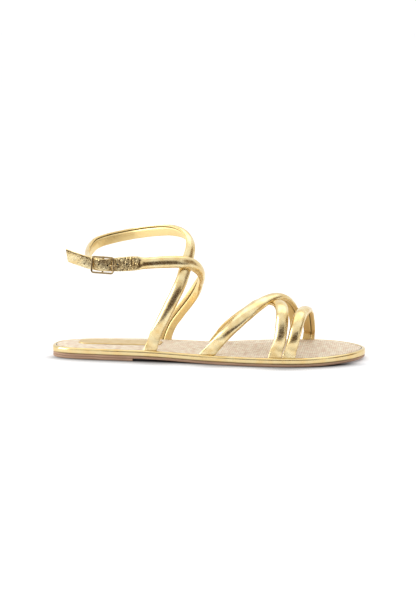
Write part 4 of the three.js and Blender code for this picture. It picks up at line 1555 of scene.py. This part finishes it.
BUCKLED_STRAP = Strap(
    name="buckled_strap",
    node="ankle_straps",
    seed=2,
    start=TabEnd(Side.MEDIAL, 87.2, 0.3),
    over_foot=(
        FootRow(92, 24.8, 21.5, 92, 21, 9.4, 3.4),
        FootRow(98, 24.4, 30, 95, 26, 9.6, 4.6),
        FootRow(107.4, 20, 41.9, 99, 34, 9.6, 4.8),
        FootRow(113.9, 14, 50.7, 98, 44, 9.6, 4.8),
        FootRow(118.4, 6, 58.9, 94, 60, 9.6, 4.8),
        FootRow(120.8, -3.4, 66, 97, 61, 9.6, 4.8),
        FootRow(119.5, -12, 72.2, 97, 65, 9.6, 4.8),
        FootRow(115, -19.4, 76.8, 94, 71, 9.6, 4.8),
        FootRow(108.6, -25, 78.9, 89, 76, 9.6, 4.8),
        FootRow(99.6, -28.8, 79.3, 80, 79, 9.6, 4.8),
        FootRow(88, -31.8, 78.9, 72, 78.9, 9.2, 4.8),
        FootRow(79, -33.4, 78.4, 68, 78.4, 8.6, 4.8),
        FootRow(75, -33.9, 78.6, 66, 78.6, 11, 1.9),
    ),
    through_buckle=(
        BuckleRow(19.5, 1.9, -0.6, 11.5, 1.5),
        BuckleRow(13.4, 1.2, 0.2, 11.3, 1.5),
        BuckleRow(8.7, 0.6, 0.95, 10.4, 1.5),
        BuckleRow(4.3, 0.1, 2.3, 9.9, 1.5, 7),
        BuckleRow(0, 0, 3.15, 9.9, 1.5, 10),
        BuckleRow(-4.3, 0.1, 2.3, 9.9, 1.5, 10),
        BuckleRow(-8.7, 0.4, 0.95, 9.9, 1.5, 10),
        BuckleRow(-13, 1.1, 0.7, 9.9, 1.5, 14),
        BuckleRow(-19, 2.6, 0.9, 10, 1.5, 20),
        BuckleRow(-24.5, 4.2, 1.5, 10.2, 1.5, 22),
        BuckleRow(-32, 6.6, 2.7, 10.2, 1.5, 22),
    ),
    crinkled=(57, 75),
    holes=((-3.1, 0.1, 2.75), (4.3, 0.1, 2.4), (11.4, 1.0, 0.5), (18.6, 1.8, -0.4)),
    tip=(-28.2, 5.4, 8),
)

UPPER_CROSS_STRAP = Strap(
    name="upper_cross_strap",
    node="forefoot_straps",
    seed=3,
    start=TabEnd(Side.LATERAL, 128.1, 0.88),
    over_foot=(
        FootRow(138.6, -32.4, 19.5, 141, 15, 9.4, 3.4),
        FootRow(146.3, -31.4, 27.9, 149, 18, 9.7, 4.7),
        FootRow(155.1, -27.4, 36.2, 158, 18, 10, 4.9),
        FootRow(163.9, -21, 43.5, 166, 15, 10.2, 4.9),
        FootRow(172.2, -12, 48.7, 173, 12, 10.2, 4.9),
        FootRow(180.2, -2, 50.2, 180, 10, 10, 4.9),
        FootRow(185.4, 8, 46.9, 185, 12, 9.8, 4.9),
        FootRow(188.8, 16.6, 41.5, 187, 14, 9.8, 4.8),
        FootRow(191.2, 26, 34.2, 189, 15, 9.6, 4.6),
        FootRow(192.2, 34.6, 26, 190, 17, 9.4, 4.2),
        FootRow(192, 41, 18, 191, 15, 9.2, 2.8),
    ),
    end=TabEnd(Side.MEDIAL, 190.4, 0.1),
)

LOWER_CROSS_STRAP = Strap(
    name="lower_cross_strap",
    node="forefoot_straps",
    seed=4,
    start=TabEnd(Side.LATERAL, 181.5, 0.22),
    over_foot=(
        FootRow(184.9, -36.5, 19, 185, 16, 9.5, 4),
        FootRow(186.4, -35.1, 30.5, 186, 20, 9.8, 4.8),
        FootRow(186.7, -31.4, 39.8, 186, 20, 9.8, 4.9),
        FootRow(185.4, -23.6, 44.9, 184, 14, 9.7, 4.5),
        FootRow(182.2, -14.5, 46.8, 181, 10, 9.6, 4.1),
        FootRow(177.4, -5.5, 46, 177, 8, 9.6, 3.8),
        FootRow(171.2, 2.4, 45.4, 171, 10, 9.6, 4.3),
        FootRow(164.1, 9.4, 42.8, 164, 12, 9.8, 4.8),
        FootRow(155.6, 15.4, 35.7, 156, 14, 9.8, 4.9),
        FootRow(145.2, 21.2, 27, 148, 16, 9.7, 4.7),
        FootRow(136, 25.8, 17.8, 139, 14, 9.4, 3.2),
    ),
    end=TabEnd(Side.MEDIAL, 128.4, 0.68),
)

TOE_STRAP = Strap(
    name="toe_strap_leather",
    node="toe_strap",
    seed=5,
    start=TabEnd(Side.LATERAL, 192.3, 0.24),
    over_foot=(
        FootRow(195.4, -35.6, 19, 195, 14, 9.4, 4),
        FootRow(197.9, -32.2, 31, 198, 16, 9.8, 4.8),
        FootRow(200, -23, 38.8, 200, 10, 9.8, 4.9),
        FootRow(202, -10, 40.8, 202, 5, 9.8, 4.9),
        FootRow(203, 4, 38.9, 202.6, 5, 9.8, 4.9),
        FootRow(203.4, 17, 34, 203, 8, 9.8, 4.9),
        FootRow(203.4, 30, 25.6, 203, 12, 9.7, 4.8),
        FootRow(203.4, 39.6, 16.6, 203, 13, 9.4, 3.2),
    ),
    end=TabEnd(Side.MEDIAL, 202.2, 0.12),
)


# Stage
@dataclass
class Studio:
    """White floor, soft lights and a camera at the photograph's angle."""

    target: tuple[float, float, float] = (0.0925, 0.0, 0.045)
    distance: float = 1.4
    turn_deg: float = 7.0
    rise_deg: float = 9.0
    lens_mm: float = 105.5
    floor_radius: float = 40.0
    floor_glow: float = 0.16
    world_glow: float = 1.08
    paper: str = "E4E4E6"
    contact: str = "45403C"
    contact_reach: float = 0.022
    contact_power: float = 3.2
    shade_from: float = -0.008
    shade_to: float = -0.024

    def camera(self) -> None:
        """Makes the camera."""
        turn, rise = math.radians(self.turn_deg), math.radians(self.rise_deg)
        back = Vector((math.sin(turn) * math.cos(rise), -math.cos(turn) * math.cos(rise), math.sin(rise)))
        data = bpy.data.cameras.new("camera")
        data.lens = self.lens_mm
        data.sensor_width = 36.0
        data.clip_end = 200.0
        camera = bpy.data.objects.new("camera", data)
        camera.location = Vector(self.target) + back * self.distance
        camera.rotation_mode = "QUATERNION"
        camera.rotation_quaternion = (-back).to_track_quat("-Z", "Y")
        bpy.context.scene.collection.objects.link(camera)
        bpy.context.scene.camera = camera

    def floor(self) -> None:
        """Makes the floor, with a soft contact shade along the sole's outer edge."""
        mesh = bmesh.new()
        bmesh.ops.create_circle(mesh, cap_ends=True, segments=96, radius=self.floor_radius)
        data = bpy.data.meshes.new("floor")
        mesh.to_mesh(data)
        mesh.free()
        material, tree, shader = new_material("Matt white paper floor")
        near = add_node(tree, "ShaderNodeAmbientOcclusion", {"Distance": self.contact_reach}).outputs["AO"]
        dim = add_node(
            tree, "ShaderNodeMath", {"operation": "POWER", 1: self.contact_power}, {0: near}
        ).outputs[0]
        place = add_node(tree, "ShaderNodeTexCoord").outputs["Object"]
        depth = add_node(tree, "ShaderNodeSeparateXYZ", {}, {0: place}).outputs["Y"]
        front = add_node(
            tree,
            "ShaderNodeMapRange",
            {"interpolation_type": "SMOOTHSTEP", "From Min": self.shade_from, "From Max": self.shade_to},
            {"Value": depth},
        ).outputs["Result"]
        blend = {"data_type": "FLOAT", 2: 1.0}
        open_share = add_node(tree, "ShaderNodeMix", blend, {0: front, 3: dim}).outputs[0]
        shade = add_node(
            tree,
            "ShaderNodeMix",
            {"data_type": "RGBA", 6: linear(self.contact), 7: linear(self.paper)},
            {0: open_share},
        ).outputs[2]
        glow = add_node(
            tree, "ShaderNodeMath", {"operation": "MULTIPLY", 1: self.floor_glow}, {0: open_share}
        ).outputs[0]
        tree.links.new(shade, shader.inputs["Base Color"])
        tree.links.new(glow, shader.inputs["Emission Strength"])
        shader.inputs["Roughness"].default_value = 0.9
        shader.inputs["Specular IOR Level"].default_value = 0.2
        shader.inputs["Emission Color"].default_value = (1.0, 1.0, 1.0, 1.0)
        data.materials.append(material)
        floor = bpy.data.objects.new("floor", data)
        bpy.context.scene.collection.objects.link(floor)

    def light(
        self, name: str, place: tuple[float, float, float], size: tuple[float, float], watts: float
    ) -> None:
        """Makes a soft box that faces the sandal.

        Args:
            name: Its name.
            place: Where it hangs, in metres.
            size: Its width and height, in metres.
            watts: Its power.
        """
        data = bpy.data.lights.new(name, "AREA")
        data.shape = "RECTANGLE"
        data.size, data.size_y = size
        data.energy = watts
        lamp = bpy.data.objects.new(name, data)
        lamp.location = place
        lamp.rotation_mode = "QUATERNION"
        lamp.rotation_quaternion = (Vector(self.target) - Vector(place)).to_track_quat("-Z", "Y")
        bpy.context.scene.collection.objects.link(lamp)

    def flag(
        self,
        name: str,
        place: tuple[float, float, float],
        size: tuple[float, float],
        facing: tuple[float, float, float],
        colour: str = "4B3D33",
    ) -> None:
        """Makes a dark card that only reflections show.

        Args:
            name: Its name.
            place: Where it stands, in metres.
            size: Its width and height, in metres.
            facing: The way that it faces.
            colour: Its colour.
        """
        mesh = bmesh.new()
        turned = Vector(facing).to_track_quat("Z", "Y").to_matrix().to_4x4()
        turned.translation = Vector(place)
        scale = Matrix.Diagonal((size[0], size[1], 1.0, 1.0))
        bmesh.ops.create_grid(mesh, x_segments=1, y_segments=1, size=0.5, matrix=turned @ scale)
        data = bpy.data.meshes.new(name)
        mesh.to_mesh(data)
        mesh.free()
        material, _, shader = new_material("Dark card, " + name)
        shader.inputs["Base Color"].default_value = linear(colour)
        shader.inputs["Roughness"].default_value = 1.0
        shader.inputs["Specular IOR Level"].default_value = 0.0
        data.materials.append(material)
        card = bpy.data.objects.new(name, data)
        bpy.context.scene.collection.objects.link(card)
        card.visible_camera = False
        card.visible_diffuse = False
        card.visible_shadow = False

    def build(self) -> None:
        """Builds the whole stage."""
        self.camera()
        self.floor()
        self.light("top_box", place=(0.1, 0.2, 1.2), size=(1.6, 1.0), watts=4.5)
        self.light("left_box", place=(-1.2, -0.65, 0.45), size=(0.8, 0.9), watts=13.0)
        self.flag("front_flag", place=(0.35, -1.5, 0.26), size=(1.8, 0.52), facing=(0, 1, 0))
        self.flag("floor_flag", place=(0.3, -0.825, 0.004), size=(1.6, 1.37), facing=(0, 0, 1))
        self.flag("right_flag", place=(1.5, -0.3, 0.45), size=(1.6, 0.8), facing=(-1, 0, 0), colour="8C7B68")
        world = bpy.data.worlds.new("studio")
        world.use_nodes = True
        shade = world.node_tree.nodes["Background"]
        shade.inputs["Color"].default_value = (1.0, 1.0, 1.0, 1.0)
        shade.inputs["Strength"].default_value = self.world_glow
        bpy.context.scene.world = world
        bpy.context.scene.view_settings.view_transform = "Standard"


def main() -> None:
    logging.basicConfig(level=logging.INFO, format="%(message)s")
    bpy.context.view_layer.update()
    Studio().build()
    sole = Sole()
    buckle = Buckle()
    foil = FoilLeather(name="Gold foil leather, padded")
    wrap = FoilLeather(name="Gold foil leather, wrapped", light="DCC896", smooth=0.12, rough=0.2)
    patch = FoilLeather(
        name="Gold foil leather, patch", light="D9BD80", deep="CFAE6A", smooth=0.3, rough=0.4, dent_depth=0.02
    )
    sole.build(wrap, patch, WovenJute("Woven jute"), SoleLeather("Tan sole leather"))
    material = foil.material()
    for strap in (WRAP_STRAP, BUCKLED_STRAP, UPPER_CROSS_STRAP, LOWER_CROSS_STRAP, TOE_STRAP):
        strap.build(sole, buckle, material)
    WrapFold().build(buckle, material)
    buckle.build(PlatedMetal("Pale gold plated steel"))


if __name__ == "__main__":
    main()
